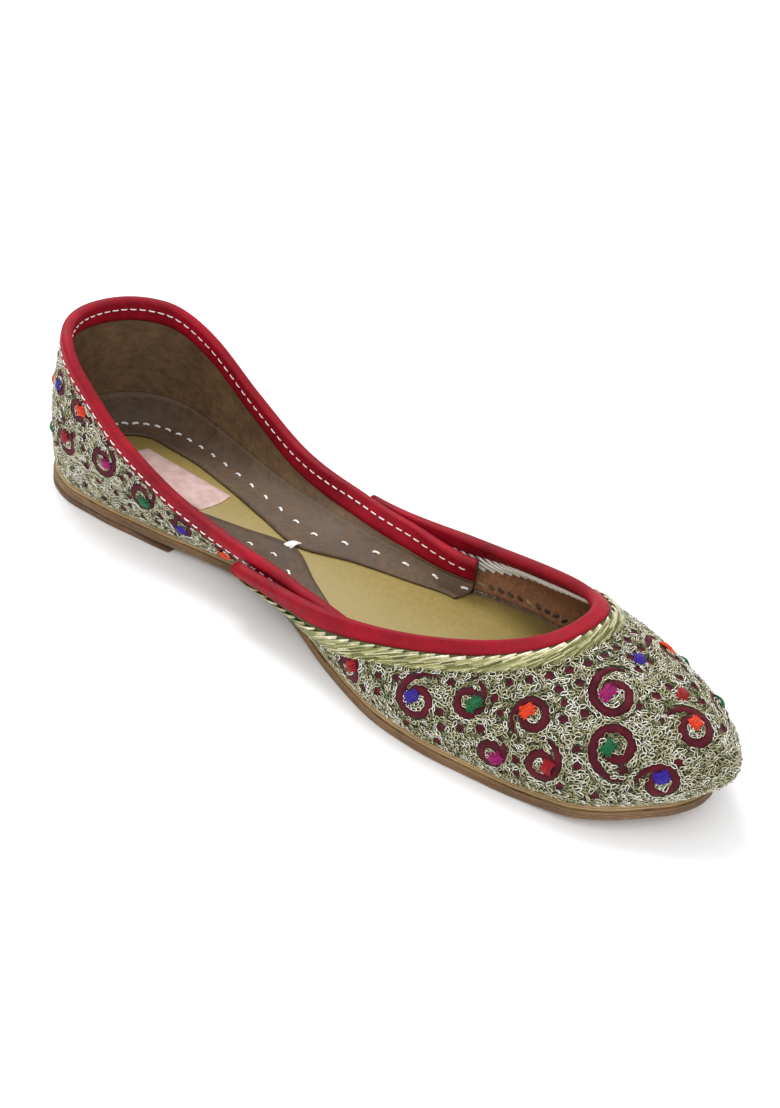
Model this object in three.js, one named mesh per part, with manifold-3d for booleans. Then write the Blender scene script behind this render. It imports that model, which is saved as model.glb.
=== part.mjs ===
// A flat slip-on mojari shoe on a straight last: thin leather sole, embroidered upper made of
// a vamp and a quarter, folded bindings on both top lines and a plaited braid round the throat.
// Millimetres, +Z up, +X towards the toe. The ground is z = 0.

import * as THREE from 'three';
import { mergeVertices } from 'three/addons/utils/BufferGeometryUtils.js';
import Module from 'manifold-3d';

const wasm = await Module();
wasm.setup();

// ---- Driving dimensions ----------------------------------------------------------------

const LAST_LENGTH = 246;        // feather line of the last, heel back to toe tip
const HEEL_ROUND = 27;          // length of the rounded heel end of the outline
const HEEL_POWER = 2.1;         // 2 is an ellipse, more is squarer
const TOE_ROUND = 25;           // length of the rounded toe end of the outline
const TOE_POWER = 2.5;
const TOE_ROOT = 1.75;          // under 2 leaves a soft middle point
const WALL = 2;                 // leather, cloth and lining of the upper together
const FIT = 0.3;                // gap between pieces that lie on each other
const SEAT = 0.5;               // gap under a binding or the braid, over the curved wall
const SOLE_MARGIN = 1.6;        // how far the outsole stands out past the feather line
const MIDSOLE_MARGIN = 0.9;     // the same for the pale midsole
const OUTSOLE_THICK = 2.4;
const MIDSOLE_THICK = 1.2;
const INSOLE_THICK = 1.2;
const HEEL_LIFT_THICK = 2;
const HEEL_LIFT_LENGTH = 66;    // from the back of the heel to the skived front edge
const SKIVE_LENGTH = 16;        // length over which the lift thins out
const SKIVE_EDGE = 0.5;         // thickness left at its front edge
const VAMP_START = 102;         // the vamp's back edge, measured from the heel
const QUARTER_END = 146;        // the quarter's front end, inside the vamp
const THROAT_FRONT = 200;       // front of the throat opening
const THROAT_HALF = 34.2;       // half width of the throat at its back corners
const THROAT_CORNER_Z = 16.5;   // height of the top line at those corners
const CORNER_PULL = 2;          // how far the corners are drawn in towards the quarter
const CORNER_TURN = 0.22;       // over this share of the way to the toe tip
const THROAT_FRONT_Z = 37;      // height of the top line at the front of the throat
const THROAT_FORWARD_POWER = 0.8;   // the throat is a squared oval in plan
const THROAT_SIDE_POWER = 0.78;
const THROAT_RISE_POWER = 1.8;      // its top line rises faster towards the front
const BINDING_THICK = 0.8;
const THROAT_BINDING_OUTSIDE = 4.2;
const THROAT_BINDING_INSIDE = 4.5;
const COLLAR_BINDING_OUTSIDE = 4.2;
const COLLAR_BINDING_INSIDE = 7;
const BRAID_WIDTH = 4.5;
const BRAID_THICK = 1.5;
const PATCH_LENGTH = 42;
const PATCH_WIDTH = 14;
const PATCH_THICK = 0.5;
const PATCH_FROM_HEEL = 22;
const FOOT_TUCK = 0.6 * WALL;   // how far the quarter's foot is tucked in under the vamp's
const TUCK_LENGTH = 20;         // length over which it moves in
const QUARTER_REACH = 0.45;     // share of the way from the quarter's top to its foot handle

// ---- Fineness of the faceted surfaces --------------------------------------------------

const WALL_SECTIONS = 60;
const VAMP_CUTS = 10;
const QUARTER_CUTS = 7;
const SOLE_SECTIONS = 56;
const LIFT_SECTIONS = 24;
const COLLAR_SECTIONS = 60;
const THROAT_SECTIONS = 50;
const LENGTH_STEPS = 40;
const TURN_STEP = 1e-4;
const SHARE_STEP = 1e-3;
const MERGE_DISTANCE = 1e-4;

// Half width of the feather line before its two ends are rounded off.
const OUTLINE_ROWS = [
  { at: 0, half: 26 },
  { at: 30, half: 26.6 },
  { at: 98, half: 18 },
  { at: 172, half: 37 },
  { at: 222, half: 29.5 },
  { at: 246, half: 22 },
];

// Underside of the outsole: on the heel lift, a slight arch, flat forefoot, toe spring.
const BOTTOM_ROWS = [
  { at: 0, bottom: HEEL_LIFT_THICK + FIT },
  { at: HEEL_LIFT_LENGTH, bottom: HEEL_LIFT_THICK + FIT },
  { at: 98, bottom: 3 },
  { at: 148, bottom: 0 },
  { at: 206, bottom: 0 },
  { at: 246, bottom: 4.5 },
];

// The quarter: its top line's height and how far it leans out past the feather line, then the
// roundness of the wall, as the handle at its foot (out and up).
const QUARTER_ROWS = [
  { at: 0, height: 55, lean: -2.5, footOut: 3.4, footUp: 17 },
  { at: 12, height: 53.5, lean: -1, footOut: 3.2, footUp: 16 },
  { at: 28, height: 46.5, lean: 1.5, footOut: 3.4, footUp: 13 },
  { at: 50, height: 33, lean: 4.5, footOut: 5, footUp: 8 },
  { at: 76, height: 22.5, lean: 7.5, footOut: 7, footUp: 5 },
  { at: 98, height: 19, lean: 9.5, footOut: 7, footUp: 5 },
  { at: 122, height: 17.5, lean: 5, footOut: 4, footUp: 6 },
  { at: 146, height: 16.5, lean: -3, footOut: 0.5, footUp: 6.5 },
];

// The vamp from its back edge (turn 0) round to the toe tip (turn 1): the handle at the foot
// of each section, then the handle below the top line, as shares of the way to the first one
// in plan (reach) and in height (drop), and the crown added to it.
const VAMP_ROWS = [
  { turn: 0, footOut: 10, footUp: 3.5, reach: 0.3, drop: 0.5, crown: 0 },
  { turn: 0.2, footOut: 6.5, footUp: 7, reach: 0.3, drop: 0.5, crown: 0 },
  { turn: 0.45, footOut: 4.5, footUp: 12, reach: 0.3, drop: 0.5, crown: 0.5 },
  { turn: 0.75, footOut: 5, footUp: 13, reach: 0.45, drop: 0.5, crown: 2.5 },
  { turn: 0.9, footOut: 13.5, footUp: 13, reach: 0.55, drop: 0.5, crown: 5 },
  { turn: 1, footOut: 18.5, footUp: 12.5, reach: 0.65, drop: 0.6, crown: 5.5 },
];

// ---- Small maths -----------------------------------------------------------------------

const clamp = (value, low, high) => Math.min(high, Math.max(low, value));
const mix = (a, b, share) => a + (b - a) * share;

function smoothStep(value, from, to) {
  const share = clamp((value - from) / (to - from), 0, 1);
  return share * share * (3 - 2 * share);
}

// A monotone cubic through one named column of a table.
function curveThrough(rows, key, column) {
  const x = rows.map((row) => row[key]);
  const y = rows.map((row) => row[column]);
  const steps = x.slice(1).map((value, i) => value - x[i]);
  const rises = steps.map((step, i) => (y[i + 1] - y[i]) / step);
  const slope = x.map((_, i) => {
    if (i === 0 || i === x.length - 1) return 0;
    if (rises[i - 1] * rises[i] <= 0) return 0;
    const before = 2 * steps[i] + steps[i - 1];
    const after = steps[i] + 2 * steps[i - 1];
    return (before + after) / (before / rises[i - 1] + after / rises[i]);
  });
  return (value) => {
    const place = clamp(value, x[0], x[x.length - 1]);
    let i = 0;
    while (i < x.length - 2 && place > x[i + 1]) i += 1;
    const t = (place - x[i]) / steps[i];
    const rest = 1 - t;
    return y[i] * rest * rest * (1 + 2 * t) + y[i + 1] * t * t * (3 - 2 * t)
      + steps[i] * t * rest * (slope[i] * rest - slope[i + 1] * t);
  };
}

const flatHalf = curveThrough(OUTLINE_ROWS, 'at', 'half');
const soleBottom = curveThrough(BOTTOM_ROWS, 'at', 'bottom');

// One curve for each of several columns, by name.
function curvesThrough(rows, key, columns) {
  return Object.fromEntries(columns.map((column) => [column, curveThrough(rows, key, column)]));
}

const quarter = curvesThrough(QUARTER_ROWS, 'at', ['height', 'lean', 'footOut', 'footUp']);
const vamp = curvesThrough(VAMP_ROWS, 'turn', ['footOut', 'footUp', 'reach', 'drop', 'crown']);

// ---- The last's outline ----------------------------------------------------------------

// Half width with both ends rounded: a plain heel, and a blunt toe with a soft middle point.
function outlineHalf(at) {
  const back = clamp((HEEL_ROUND - at) / HEEL_ROUND, 0, 1);
  const front = clamp((at - LAST_LENGTH + TOE_ROUND) / TOE_ROUND, 0, 1);
  const heel = (1 - back ** HEEL_POWER) ** (1 / HEEL_POWER);
  const toe = (1 - front ** TOE_POWER) ** (1 / TOE_ROOT);
  return flatHalf(at) * heel * toe;
}

// turn runs 0 to 1 from the heel back to the toe tip on the +Y side, closest at the two ends.
const turnToAt = (turn) => LAST_LENGTH * (1 - Math.cos(Math.PI * turn)) / 2;
const atToTurn = (at) => Math.acos(1 - 2 * at / LAST_LENGTH) / Math.PI;

// A point of the outline moved outwards: its place along the shoe, its half width, its normal.
function outline(turn, out = 0) {
  const low = clamp(turn - TURN_STEP, 0, 1);
  const high = clamp(turn + TURN_STEP, 0, 1);
  const along = turnToAt(high) - turnToAt(low);
  const across = outlineHalf(turnToAt(high)) - outlineHalf(turnToAt(low));
  const size = Math.hypot(along, across);
  const isEnd = turn < TURN_STEP || turn > 1 - TURN_STEP;
  const normalX = isEnd ? Math.sign(turn - 0.5) : -across / size;
  const normalY = isEnd ? 0 : along / size;
  const at = turnToAt(turn);
  return {
    at,
    x: at + normalX * out,
    y: (isEnd ? 0 : outlineHalf(at)) + normalY * out,
    normalX,
    normalY,
  };
}

const footHeight = (at) => soleBottom(at) + OUTSOLE_THICK + MIDSOLE_THICK + 2 * FIT;

// ---- The upper's two surfaces ----------------------------------------------------------

function bezier(points, v) {
  const w = 1 - v;
  const weights = [w * w * w, 3 * w * w * v, 3 * w * v * v, v * v * v];
  const sum = new THREE.Vector3();
  points.forEach((point, i) => sum.addScaledVector(point, weights[i]));
  return sum;
}

// The quarter's foot is tucked in under the vamp's, where the two walls join.
const tuck = (at) => FOOT_TUCK * smoothStep(at, VAMP_START - TUCK_LENGTH, VAMP_START);

// around: -1 and 1 are the quarter's front ends, 0 is the heel back. v: 0 foot, 1 top line.
function quarterPoint(around, v) {
  const turn = Math.abs(around) * atToTurn(QUARTER_END);
  const edge = outline(turn);
  const at = edge.at;
  const side = around < 0 ? -1 : 1;
  const place = (out, z) => new THREE.Vector3(
    edge.x + edge.normalX * out, side * (edge.y + edge.normalY * out), z);
  const foot = -tuck(at);
  const footZ = footHeight(at);
  const second = place(foot + quarter.footOut(at), footZ + quarter.footUp(at));
  const last = place(quarter.lean(at), quarter.height(at));
  const third = last.clone().lerp(second, QUARTER_REACH);
  return bezier([place(foot, footZ), second, third, last], v);
}

// around: -1 and 1 are the vamp's back edges, 0 is the toe tip. v: 0 foot, 1 throat.
function vampPoint(around, v) {
  const turn = 1 - Math.abs(around);
  const side = around < 0 ? -1 : 1;
  const start = atToTurn(VAMP_START);
  const edge = outline(mix(start, 1, turn));
  const foot = new THREE.Vector3(edge.x, side * edge.y, footHeight(edge.at));
  const second = new THREE.Vector3(
    edge.x + edge.normalX * vamp.footOut(turn),
    side * (edge.y + edge.normalY * vamp.footOut(turn)),
    foot.z + vamp.footUp(turn),
  );
  const bend = turn * Math.PI / 2;
  const forward = Math.sin(bend) ** THROAT_FORWARD_POWER;
  const half = THROAT_HALF * Math.max(Math.cos(bend), 0) ** THROAT_SIDE_POWER;
  const pull = CORNER_PULL * (1 - smoothStep(turn, 0, CORNER_TURN));
  const last = new THREE.Vector3(
    mix(VAMP_START, THROAT_FRONT, forward),
    side * (half - pull),
    mix(THROAT_CORNER_Z, THROAT_FRONT_Z, forward ** THROAT_RISE_POWER),
  );
  const third = new THREE.Vector3(
    mix(last.x, second.x, vamp.reach(turn)),
    mix(last.y, second.y, vamp.reach(turn)),
    mix(last.z, second.z, vamp.drop(turn)) + vamp.crown(turn),
  );
  return bezier([foot, second, third, last], v);
}

// The outward normal of either surface.
function surfaceNormal(surface, around, v) {
  const next = Math.min(around + SHARE_STEP, 1);
  const previous = Math.max(around - SHARE_STEP, -1);
  const along = surface(next, v).sub(surface(previous, v));
  const up = surface(around, v + SHARE_STEP).sub(surface(around, v - SHARE_STEP));
  const normal = along.cross(up).normalize();
  return surface === quarterPoint ? normal.negate() : normal;
}

// A point off the surface: positive is outside, negative is inside.
function offPoint(surface, around, v, off) {
  return surface(around, v).addScaledVector(surfaceNormal(surface, around, v), off);
}

// ---- Meshes ----------------------------------------------------------------------------

// Joins rings of points, all of one count, into a closed band with its two end faces.
function loftRings(rings) {
  const count = rings[0].length;
  const positions = rings.flat().flatMap((point) => [point.x, point.y, point.z]);
  const faces = [];
  for (let r = 0; r < rings.length - 1; r += 1) {
    for (let i = 0; i < count; i += 1) {
      const a = r * count + i;
      const b = r * count + (i + 1) % count;
      faces.push([a, b, b + count], [a, b + count, a + count]);
    }
  }
  return { positions, faces, count, rings: rings.length };
}

// Fills the end ring as a strip between its first and second halves.
function stripCap(first, count, flip) {
  const faces = [];
  for (let i = 0; i < count / 2 - 1; i += 1) {
    const a = first + i;
    const b = first + i + 1;
    const c = first + count - 1 - i;
    const d = first + count - 2 - i;
    faces.push(flip ? [a, d, b] : [a, b, d], flip ? [a, c, d] : [a, d, c]);
  }
  return faces;
}

// A closed geometry whose faces point out, with shared vertices merged and slivers dropped.
function closedGeometry(positions, faces) {
  const raw = new THREE.BufferGeometry();
  raw.setAttribute('position', new THREE.Float32BufferAttribute(positions, 3));
  raw.setIndex(faces.flat());
  const merged = mergeVertices(raw, MERGE_DISTANCE);
  const index = Array.from(merged.getIndex().array);
  const kept = [];
  for (let i = 0; i < index.length; i += 3) {
    const [a, b, c] = index.slice(i, i + 3);
    if (a !== b && b !== c && c !== a) kept.push(a, b, c);
  }
  merged.setIndex(volumeOf(merged.getAttribute('position'), kept) < 0 ? kept.reverse() : kept);
  return merged;
}

function volumeOf(position, index) {
  const [a, b, c] = [new THREE.Vector3(), new THREE.Vector3(), new THREE.Vector3()];
  let volume = 0;
  for (let i = 0; i < index.length; i += 3) {
    a.fromBufferAttribute(position, index[i]);
    b.fromBufferAttribute(position, index[i + 1]);
    c.fromBufferAttribute(position, index[i + 2]);
    volume += a.dot(b.cross(c)) / 6;
  }
  return volume;
}

function bandGeometry(rings) {
  const band = loftRings(rings);
  const lastRing = (band.rings - 1) * band.count;
  const caps = [...stripCap(0, band.count, true), ...stripCap(lastRing, band.count, false)];
  return closedGeometry(band.positions, [...band.faces, ...caps]);
}

function toManifold(geometry) {
  return new wasm.Manifold(new wasm.Mesh({
    numProp: 3,
    vertProperties: new Float32Array(geometry.getAttribute('position').array),
    triVerts: new Uint32Array(geometry.getIndex().array),
  }));
}

function fromManifold(solid) {
  const mesh = solid.getMesh();
  const geometry = new THREE.BufferGeometry();
  geometry.setAttribute('position', new THREE.Float32BufferAttribute(mesh.vertProperties, 3));
  geometry.setIndex(Array.from(mesh.triVerts));
  return geometry;
}

const samples = (count, from, to) => (
  Array.from({ length: count + 1 }, (_, i) => mix(from, to, i / count))
);

// ---- Pieces ----------------------------------------------------------------------------

// A wall along one of the surfaces, from its outside face to its inside face.
function wallGeometry(surface, aroundCount, upCount) {
  const up = samples(upCount, 0, 1);
  return bandGeometry(samples(aroundCount, -1, 1).map((around) => [
    ...up.map((v) => offPoint(surface, around, v, 0)),
    ...up.slice().reverse().map((v) => offPoint(surface, around, v, -WALL)),
  ]));
}

// A layer with the last's outline: margin outside it, between two heights along the shoe.
function layerGeometry(margin, bottom, top, fromTurn = 0, toTurn = 1, count = SOLE_SECTIONS) {
  return bandGeometry(samples(count, fromTurn, toTurn).map((turn) => {
    const edge = outline(turn, margin(turnToAt(turn)));
    return [
      new THREE.Vector3(edge.x, -edge.y, bottom(edge.at)),
      new THREE.Vector3(edge.x, edge.y, bottom(edge.at)),
      new THREE.Vector3(edge.x, edge.y, top(edge.at)),
      new THREE.Vector3(edge.x, -edge.y, top(edge.at)),
    ];
  }));
}

// The share v whose point lies a given length below the top line, along the section.
function shareBelowTop(surface, around, length) {
  let before = surface(around, 1);
  let walked = 0;
  for (let i = 1; i <= LENGTH_STEPS; i += 1) {
    const v = 1 - i / LENGTH_STEPS;
    const here = surface(around, v);
    const stride = here.distanceTo(before);
    if (walked + stride >= length) return v + (1 - (length - walked) / stride) / LENGTH_STEPS;
    walked += stride;
    before = here;
  }
  return 0;
}

// Leather folded over a top line: down the outside, over the edge and down the inside.
function bindingGeometry(surface, outside, inside, aroundCount) {
  const near = SEAT;
  const far = SEAT + BINDING_THICK;
  const flapCuts = [1, 0.5, 0];
  return bandGeometry(samples(aroundCount, -1, 1).map((around) => {
    const flap = (length, off) => flapCuts.map((share) => (
      offPoint(surface, around, shareBelowTop(surface, around, length * share), off)));
    const top = surface(around, 1);
    const normal = surfaceNormal(surface, around, 1);
    const up = top.clone().sub(surface(around, 1 - 20 * SHARE_STEP)).normalize();
    const over = (off, rise) => top.clone().addScaledVector(normal, off).addScaledVector(up, rise);
    return [
      ...flap(outside, far),
      over(far - BINDING_THICK / 2, far),
      over(BINDING_THICK / 2 - WALL - far, far),
      ...flap(inside, -WALL - far).reverse(),
      ...flap(inside, -WALL - near),
      over(-WALL - near, near),
      over(near, near),
      ...flap(outside, near).reverse(),
    ];
  }));
}

function braidGeometry(aroundCount) {
  const from = THROAT_BINDING_OUTSIDE + FIT;
  return bandGeometry(samples(aroundCount, -1, 1).map((around) => {
    const upper = shareBelowTop(vampPoint, around, from);
    const lower = shareBelowTop(vampPoint, around, from + BRAID_WIDTH);
    const middle = (upper + lower) / 2;
    return [
      offPoint(vampPoint, around, lower, SEAT),
      offPoint(vampPoint, around, middle, SEAT),
      offPoint(vampPoint, around, upper, SEAT),
      offPoint(vampPoint, around, upper, SEAT + BRAID_THICK),
      offPoint(vampPoint, around, middle, SEAT + BRAID_THICK),
      offPoint(vampPoint, around, lower, SEAT + BRAID_THICK),
    ];
  }));
}

function outsole() {
  const bottom = soleBottom;
  return layerGeometry(() => SOLE_MARGIN, bottom, (at) => bottom(at) + OUTSOLE_THICK);
}

function midsole() {
  const bottom = (at) => soleBottom(at) + OUTSOLE_THICK + FIT;
  return layerGeometry(() => MIDSOLE_MARGIN, bottom, (at) => bottom(at) + MIDSOLE_THICK);
}

function insole() {
  const inset = (at) => -(WALL + 2 * FIT + tuck(at));
  return layerGeometry(inset, footHeight, (at) => footHeight(at) + INSOLE_THICK);
}

// The lift has a flat underside on the ground, and is skived away before the waist.
function heelLift() {
  const top = (at) => mix(HEEL_LIFT_THICK, SKIVE_EDGE,
    smoothStep(at, HEEL_LIFT_LENGTH - SKIVE_LENGTH, HEEL_LIFT_LENGTH));
  const end = atToTurn(HEEL_LIFT_LENGTH);
  return layerGeometry(() => SOLE_MARGIN, () => 0, top, 0, end, LIFT_SECTIONS);
}

function upper() {
  const vampWall = toManifold(wallGeometry(vampPoint, WALL_SECTIONS, VAMP_CUTS));
  const quarterWall = toManifold(wallGeometry(quarterPoint, WALL_SECTIONS, QUARTER_CUTS));
  return fromManifold(vampWall.add(quarterWall));
}

// A plain patch glued on the heel of the insole.
function heelPatch() {
  const bottom = footHeight(0) + INSOLE_THICK + FIT;
  const patch = new THREE.BoxGeometry(PATCH_LENGTH, PATCH_WIDTH, PATCH_THICK);
  patch.translate(PATCH_FROM_HEEL + PATCH_LENGTH / 2, 0, bottom + PATCH_THICK / 2);
  patch.deleteAttribute('normal');
  patch.deleteAttribute('uv');
  return mergeVertices(patch);
}

// ---- The shoe --------------------------------------------------------------------------

const PIECES = [
  { name: 'outsole', make: outsole, color: 0x8a5f3c, roughness: 0.65 },
  { name: 'heel_lift', make: heelLift, color: 0x7a5334, roughness: 0.7 },
  { name: 'midsole', make: midsole, color: 0xbf9a6b, roughness: 0.7 },
  { name: 'insole', make: insole, color: 0xa98f4e, roughness: 0.6 },
  { name: 'upper', make: upper, color: 0xb3ab8c, roughness: 0.5 },
  {
    name: 'collar_binding',
    make: () => bindingGeometry(
      quarterPoint, COLLAR_BINDING_OUTSIDE, COLLAR_BINDING_INSIDE, COLLAR_SECTIONS),
    color: 0x9c1226,
    roughness: 0.45,
  },
  {
    name: 'throat_binding',
    make: () => bindingGeometry(
      vampPoint, THROAT_BINDING_OUTSIDE, THROAT_BINDING_INSIDE, THROAT_SECTIONS),
    color: 0x8e1023,
    roughness: 0.45,
  },
  {
    name: 'throat_braid',
    make: () => braidGeometry(THROAT_SECTIONS),
    color: 0xb9ad7a,
    roughness: 0.4,
  },
  { name: 'heel_patch', make: heelPatch, color: 0xe6b9b4, roughness: 0.8 },
];

const shoe = new THREE.Group();
for (const piece of PIECES) {
  const material = new THREE.MeshStandardMaterial({
    color: piece.color,
    roughness: piece.roughness,
    metalness: 0,
  });
  const mesh = new THREE.Mesh(piece.make(), material);
  mesh.name = piece.name;
  shoe.add(mesh);
}

// The origin is the middle of the shoe's own box, on the ground.
const box = new THREE.Box3().setFromObject(shoe);
for (const mesh of shoe.children) {
  mesh.position.x = -(box.min.x + box.max.x) / 2;
}

export default shoe;
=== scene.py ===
# %% [markdown]
# # A mojari shoe
# A mojari is a flat slip-on shoe of leather and embroidered cloth. It is made from few pieces:
# a thin layered sole, an upper in two parts (the vamp over the toes and the quarter round the
# heel), folded red leather on the two top lines, and a plaited braid round the throat.
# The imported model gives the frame. Every piece here lies on the same last as its solids.

# %% Load the frame
import bpy
import numpy as np
from mathutils import Matrix, Vector


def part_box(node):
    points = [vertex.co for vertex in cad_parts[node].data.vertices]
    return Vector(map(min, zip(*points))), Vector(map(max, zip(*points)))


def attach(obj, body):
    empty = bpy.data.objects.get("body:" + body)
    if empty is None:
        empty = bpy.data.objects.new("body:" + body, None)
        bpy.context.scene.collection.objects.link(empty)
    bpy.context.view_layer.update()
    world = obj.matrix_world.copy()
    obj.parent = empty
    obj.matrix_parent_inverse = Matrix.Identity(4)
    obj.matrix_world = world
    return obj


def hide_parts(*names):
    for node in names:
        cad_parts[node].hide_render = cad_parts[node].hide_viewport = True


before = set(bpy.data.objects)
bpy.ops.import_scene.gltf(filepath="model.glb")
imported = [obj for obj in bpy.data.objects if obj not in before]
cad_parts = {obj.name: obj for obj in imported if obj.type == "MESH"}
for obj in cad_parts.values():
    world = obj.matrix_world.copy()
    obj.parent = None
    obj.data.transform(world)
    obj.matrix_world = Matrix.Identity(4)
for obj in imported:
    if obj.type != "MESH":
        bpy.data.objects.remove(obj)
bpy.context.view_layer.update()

rng = np.random.default_rng(7)
print("nodes:", ", ".join(sorted(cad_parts)))

# %% [markdown]
# ## Sizes
# A shoemaker measures in millimetres from the back of the heel, so these sizes do too. They
# are the ones that the solids were made with. The outsole stands 1.6 mm out past the last at
# the heel, which gives the place of the last in the frame.

# %% Sizes of the last and its layers, in millimetres
LAST_LENGTH = 246
HEEL_ROUND, HEEL_POWER = 27, 2.1
TOE_ROUND, TOE_POWER, TOE_ROOT = 25, 2.5, 1.75
WALL = 2
FIT = 0.3
SOLE_MARGIN, MIDSOLE_MARGIN = 1.6, 0.9
OUTSOLE_THICK, MIDSOLE_THICK, INSOLE_THICK = 2.4, 1.2, 1.2
HEEL_LIFT_THICK, HEEL_LIFT_LENGTH, SKIVE_LENGTH, SKIVE_EDGE = 2, 66, 16, 0.5
VAMP_START, QUARTER_END = 102, 146
THROAT_FRONT, THROAT_HALF = 200, 34.2
THROAT_CORNER_Z, THROAT_FRONT_Z = 16.5, 37
CORNER_PULL, CORNER_TURN = 2, 0.22
THROAT_POWERS = {"forward": 0.8, "side": 0.78, "rise": 1.8}
FOOT_TUCK, TUCK_LENGTH = 0.6, 20
QUARTER_REACH = 0.45
BINDING_THICK = 0.8
THROAT_BINDING = {"outside": 4.2, "inside": 4.5}
COLLAR_BINDING = {"outside": 4.2, "inside": 7}
BRAID_WIDTH = 4.5
PATCH_LENGTH, PATCH_WIDTH, PATCH_THICK, PATCH_FROM_HEEL = 42, 14, 0.5, 22

OUTLINE_TABLE = {
    "at":   (0, 30, 98, 172, 222, 246),
    "half": (26, 26.6, 18, 37, 29.5, 22),
}
BOTTOM_TABLE = {
    "at":     (0, 66, 98, 148, 206, 246),
    "bottom": (2.3, 2.3, 3, 0, 0, 4.5),
}
QUARTER_TABLE = {
    "at":       (0, 12, 28, 50, 76, 98, 122, 146),
    "height":   (55, 53.5, 46.5, 33, 22.5, 19, 17.5, 16.5),
    "lean":     (-2.5, -1, 1.5, 4.5, 7.5, 9.5, 5, -3),
    "foot_out": (3.4, 3.2, 3.4, 5, 7, 7, 4, 0.5),
    "foot_up":  (17, 16, 13, 8, 5, 5, 6, 6.5),
}
VAMP_TABLE = {
    "turn":     (0, 0.2, 0.45, 0.75, 0.9, 1),
    "foot_out": (10, 6.5, 4.5, 5, 13.5, 18.5),
    "foot_up":  (3.5, 7, 12, 13, 13, 12.5),
    "reach":    (0.3, 0.3, 0.3, 0.45, 0.55, 0.65),
    "drop":     (0.5, 0.5, 0.5, 0.5, 0.5, 0.6),
    "crown":    (0, 0, 0.5, 2.5, 5, 5.5),
}
HEEL_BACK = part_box("outsole")[0].x * 1000 + SOLE_MARGIN
print(f"the last's heel is at x = {HEEL_BACK:.2f} mm")


# %% [markdown]
# ## Small maths on whole arrays
# A smooth curve through a short table replaces long lists of points. The slope at each row is
# a weighted harmonic mean of the slopes beside it, so the curve never overshoots its rows.

# %% Curves, blends and unit vectors
def mix(a, b, share):
    return a + (b - a) * share


def smooth_step(value, low, high):
    share = np.clip((value - low) / (high - low), 0, 1)
    return share * share * (3 - 2 * share)


def xyz(x, y, z):
    return np.stack(np.broadcast_arrays(x, y, z), -1)


def unit(vectors):
    return vectors / np.maximum(np.linalg.norm(vectors, axis=-1, keepdims=True), 1e-9)


def curve_through(table, key, column):
    """A monotone cubic: value, then slope, both carried from each row of the table to the next."""
    x = np.array(table[key], float)
    y = np.array(table[column], float)
    step = np.diff(x)
    rise = np.diff(y) / step
    same_way = rise[:-1] * rise[1:] > 0
    before = 2 * step[1:] + step[:-1]
    after = step[1:] + 2 * step[:-1]
    rise_in, rise_out = np.where(same_way, rise[:-1], 1), np.where(same_way, rise[1:], 1)
    slope = np.zeros_like(x)
    slope[1:-1] = np.where(same_way, (before + after) / (before / rise_in + after / rise_out), 0)

    def curve(value):
        place = np.clip(value, x[0], x[-1])
        i = np.clip(np.searchsorted(x, place) - 1, 0, len(x) - 2)
        t = (place - x[i]) / step[i]
        rest = 1 - t
        return (y[i] * rest * rest * (1 + 2 * t) + y[i + 1] * t * t * (3 - 2 * t)
                + step[i] * t * rest * (slope[i] * rest - slope[i + 1] * t))
    return curve


flat_half = curve_through(OUTLINE_TABLE, "at", "half")
sole_bottom = curve_through(BOTTOM_TABLE, "at", "bottom")
quarter_curve = {name: curve_through(QUARTER_TABLE, "at", name) for name in QUARTER_TABLE}
vamp_curve = {name: curve_through(VAMP_TABLE, "turn", name) for name in VAMP_TABLE}


# %% [markdown]
# ## The last's outline
# The sole, the midsole and the sock all follow one outline, each a little outside or inside
# it. One number, the turn, runs from 0 at the heel back to 1 at the toe tip.

# %% The outline and the foot of the upper
def turn_to_at(turn):
    return LAST_LENGTH * (1 - np.cos(np.pi * turn)) / 2


def at_to_turn(at):
    return np.arccos(1 - 2 * at / LAST_LENGTH) / np.pi


def outline_half(at):
    """Half width: the table's curve times a rounding at the heel and one at the toe."""
    back = np.clip((HEEL_ROUND - at) / HEEL_ROUND, 0, 1)
    front = np.clip((at - LAST_LENGTH + TOE_ROUND) / TOE_ROUND, 0, 1)
    heel = np.maximum(1 - back ** HEEL_POWER, 0) ** (1 / HEEL_POWER)
    toe = np.maximum(1 - front ** TOE_POWER, 0) ** (1 / TOE_ROOT)
    return flat_half(at) * heel * toe


def outline(turn, out=0):
    """Place along the last, then the x and y of the outline moved outwards, then its normal."""
    step = 1e-4
    low, high = np.clip(turn - step, 0, 1), np.clip(turn + step, 0, 1)
    along = turn_to_at(high) - turn_to_at(low)
    across = outline_half(turn_to_at(high)) - outline_half(turn_to_at(low))
    size = np.hypot(along, across)
    is_end = (turn < step) | (turn > 1 - step)
    normal_x = np.where(is_end, np.sign(turn - 0.5), -across / size)
    normal_y = np.where(is_end, 0, along / size)
    at = turn_to_at(turn)
    half = np.where(is_end, 0, outline_half(at))
    return at, at + normal_x * out, half + normal_y * out, normal_x, normal_y


def foot_height(at):
    return sole_bottom(at) + OUTSOLE_THICK + MIDSOLE_THICK + 2 * FIT


def tuck(at):
    """How far the quarter's front ends stand in from the outline, to go inside the vamp."""
    return FOOT_TUCK * WALL * smooth_step(at, VAMP_START - TUCK_LENGTH, VAMP_START)


# %% [markdown]
# ## The upper's two surfaces
# Each section of the upper is a cubic Bezier from the feather line up to the top line. Around
# runs from -1 to 1, and the up share from 0 at the foot to 1 at the top. The vamp's middle is
# the toe, the quarter's is the heel back.

# %% Vamp and quarter as functions of two parameters
def bezier(points, up):
    """Four points weighted by the cubic Bezier polynomials of the up share."""
    share = np.asarray(up)[..., None]
    rest = 1 - share
    first, second, third, last = points
    return (first * rest ** 3 + 3 * second * rest ** 2 * share
            + 3 * third * rest * share ** 2 + last * share ** 3)


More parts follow.
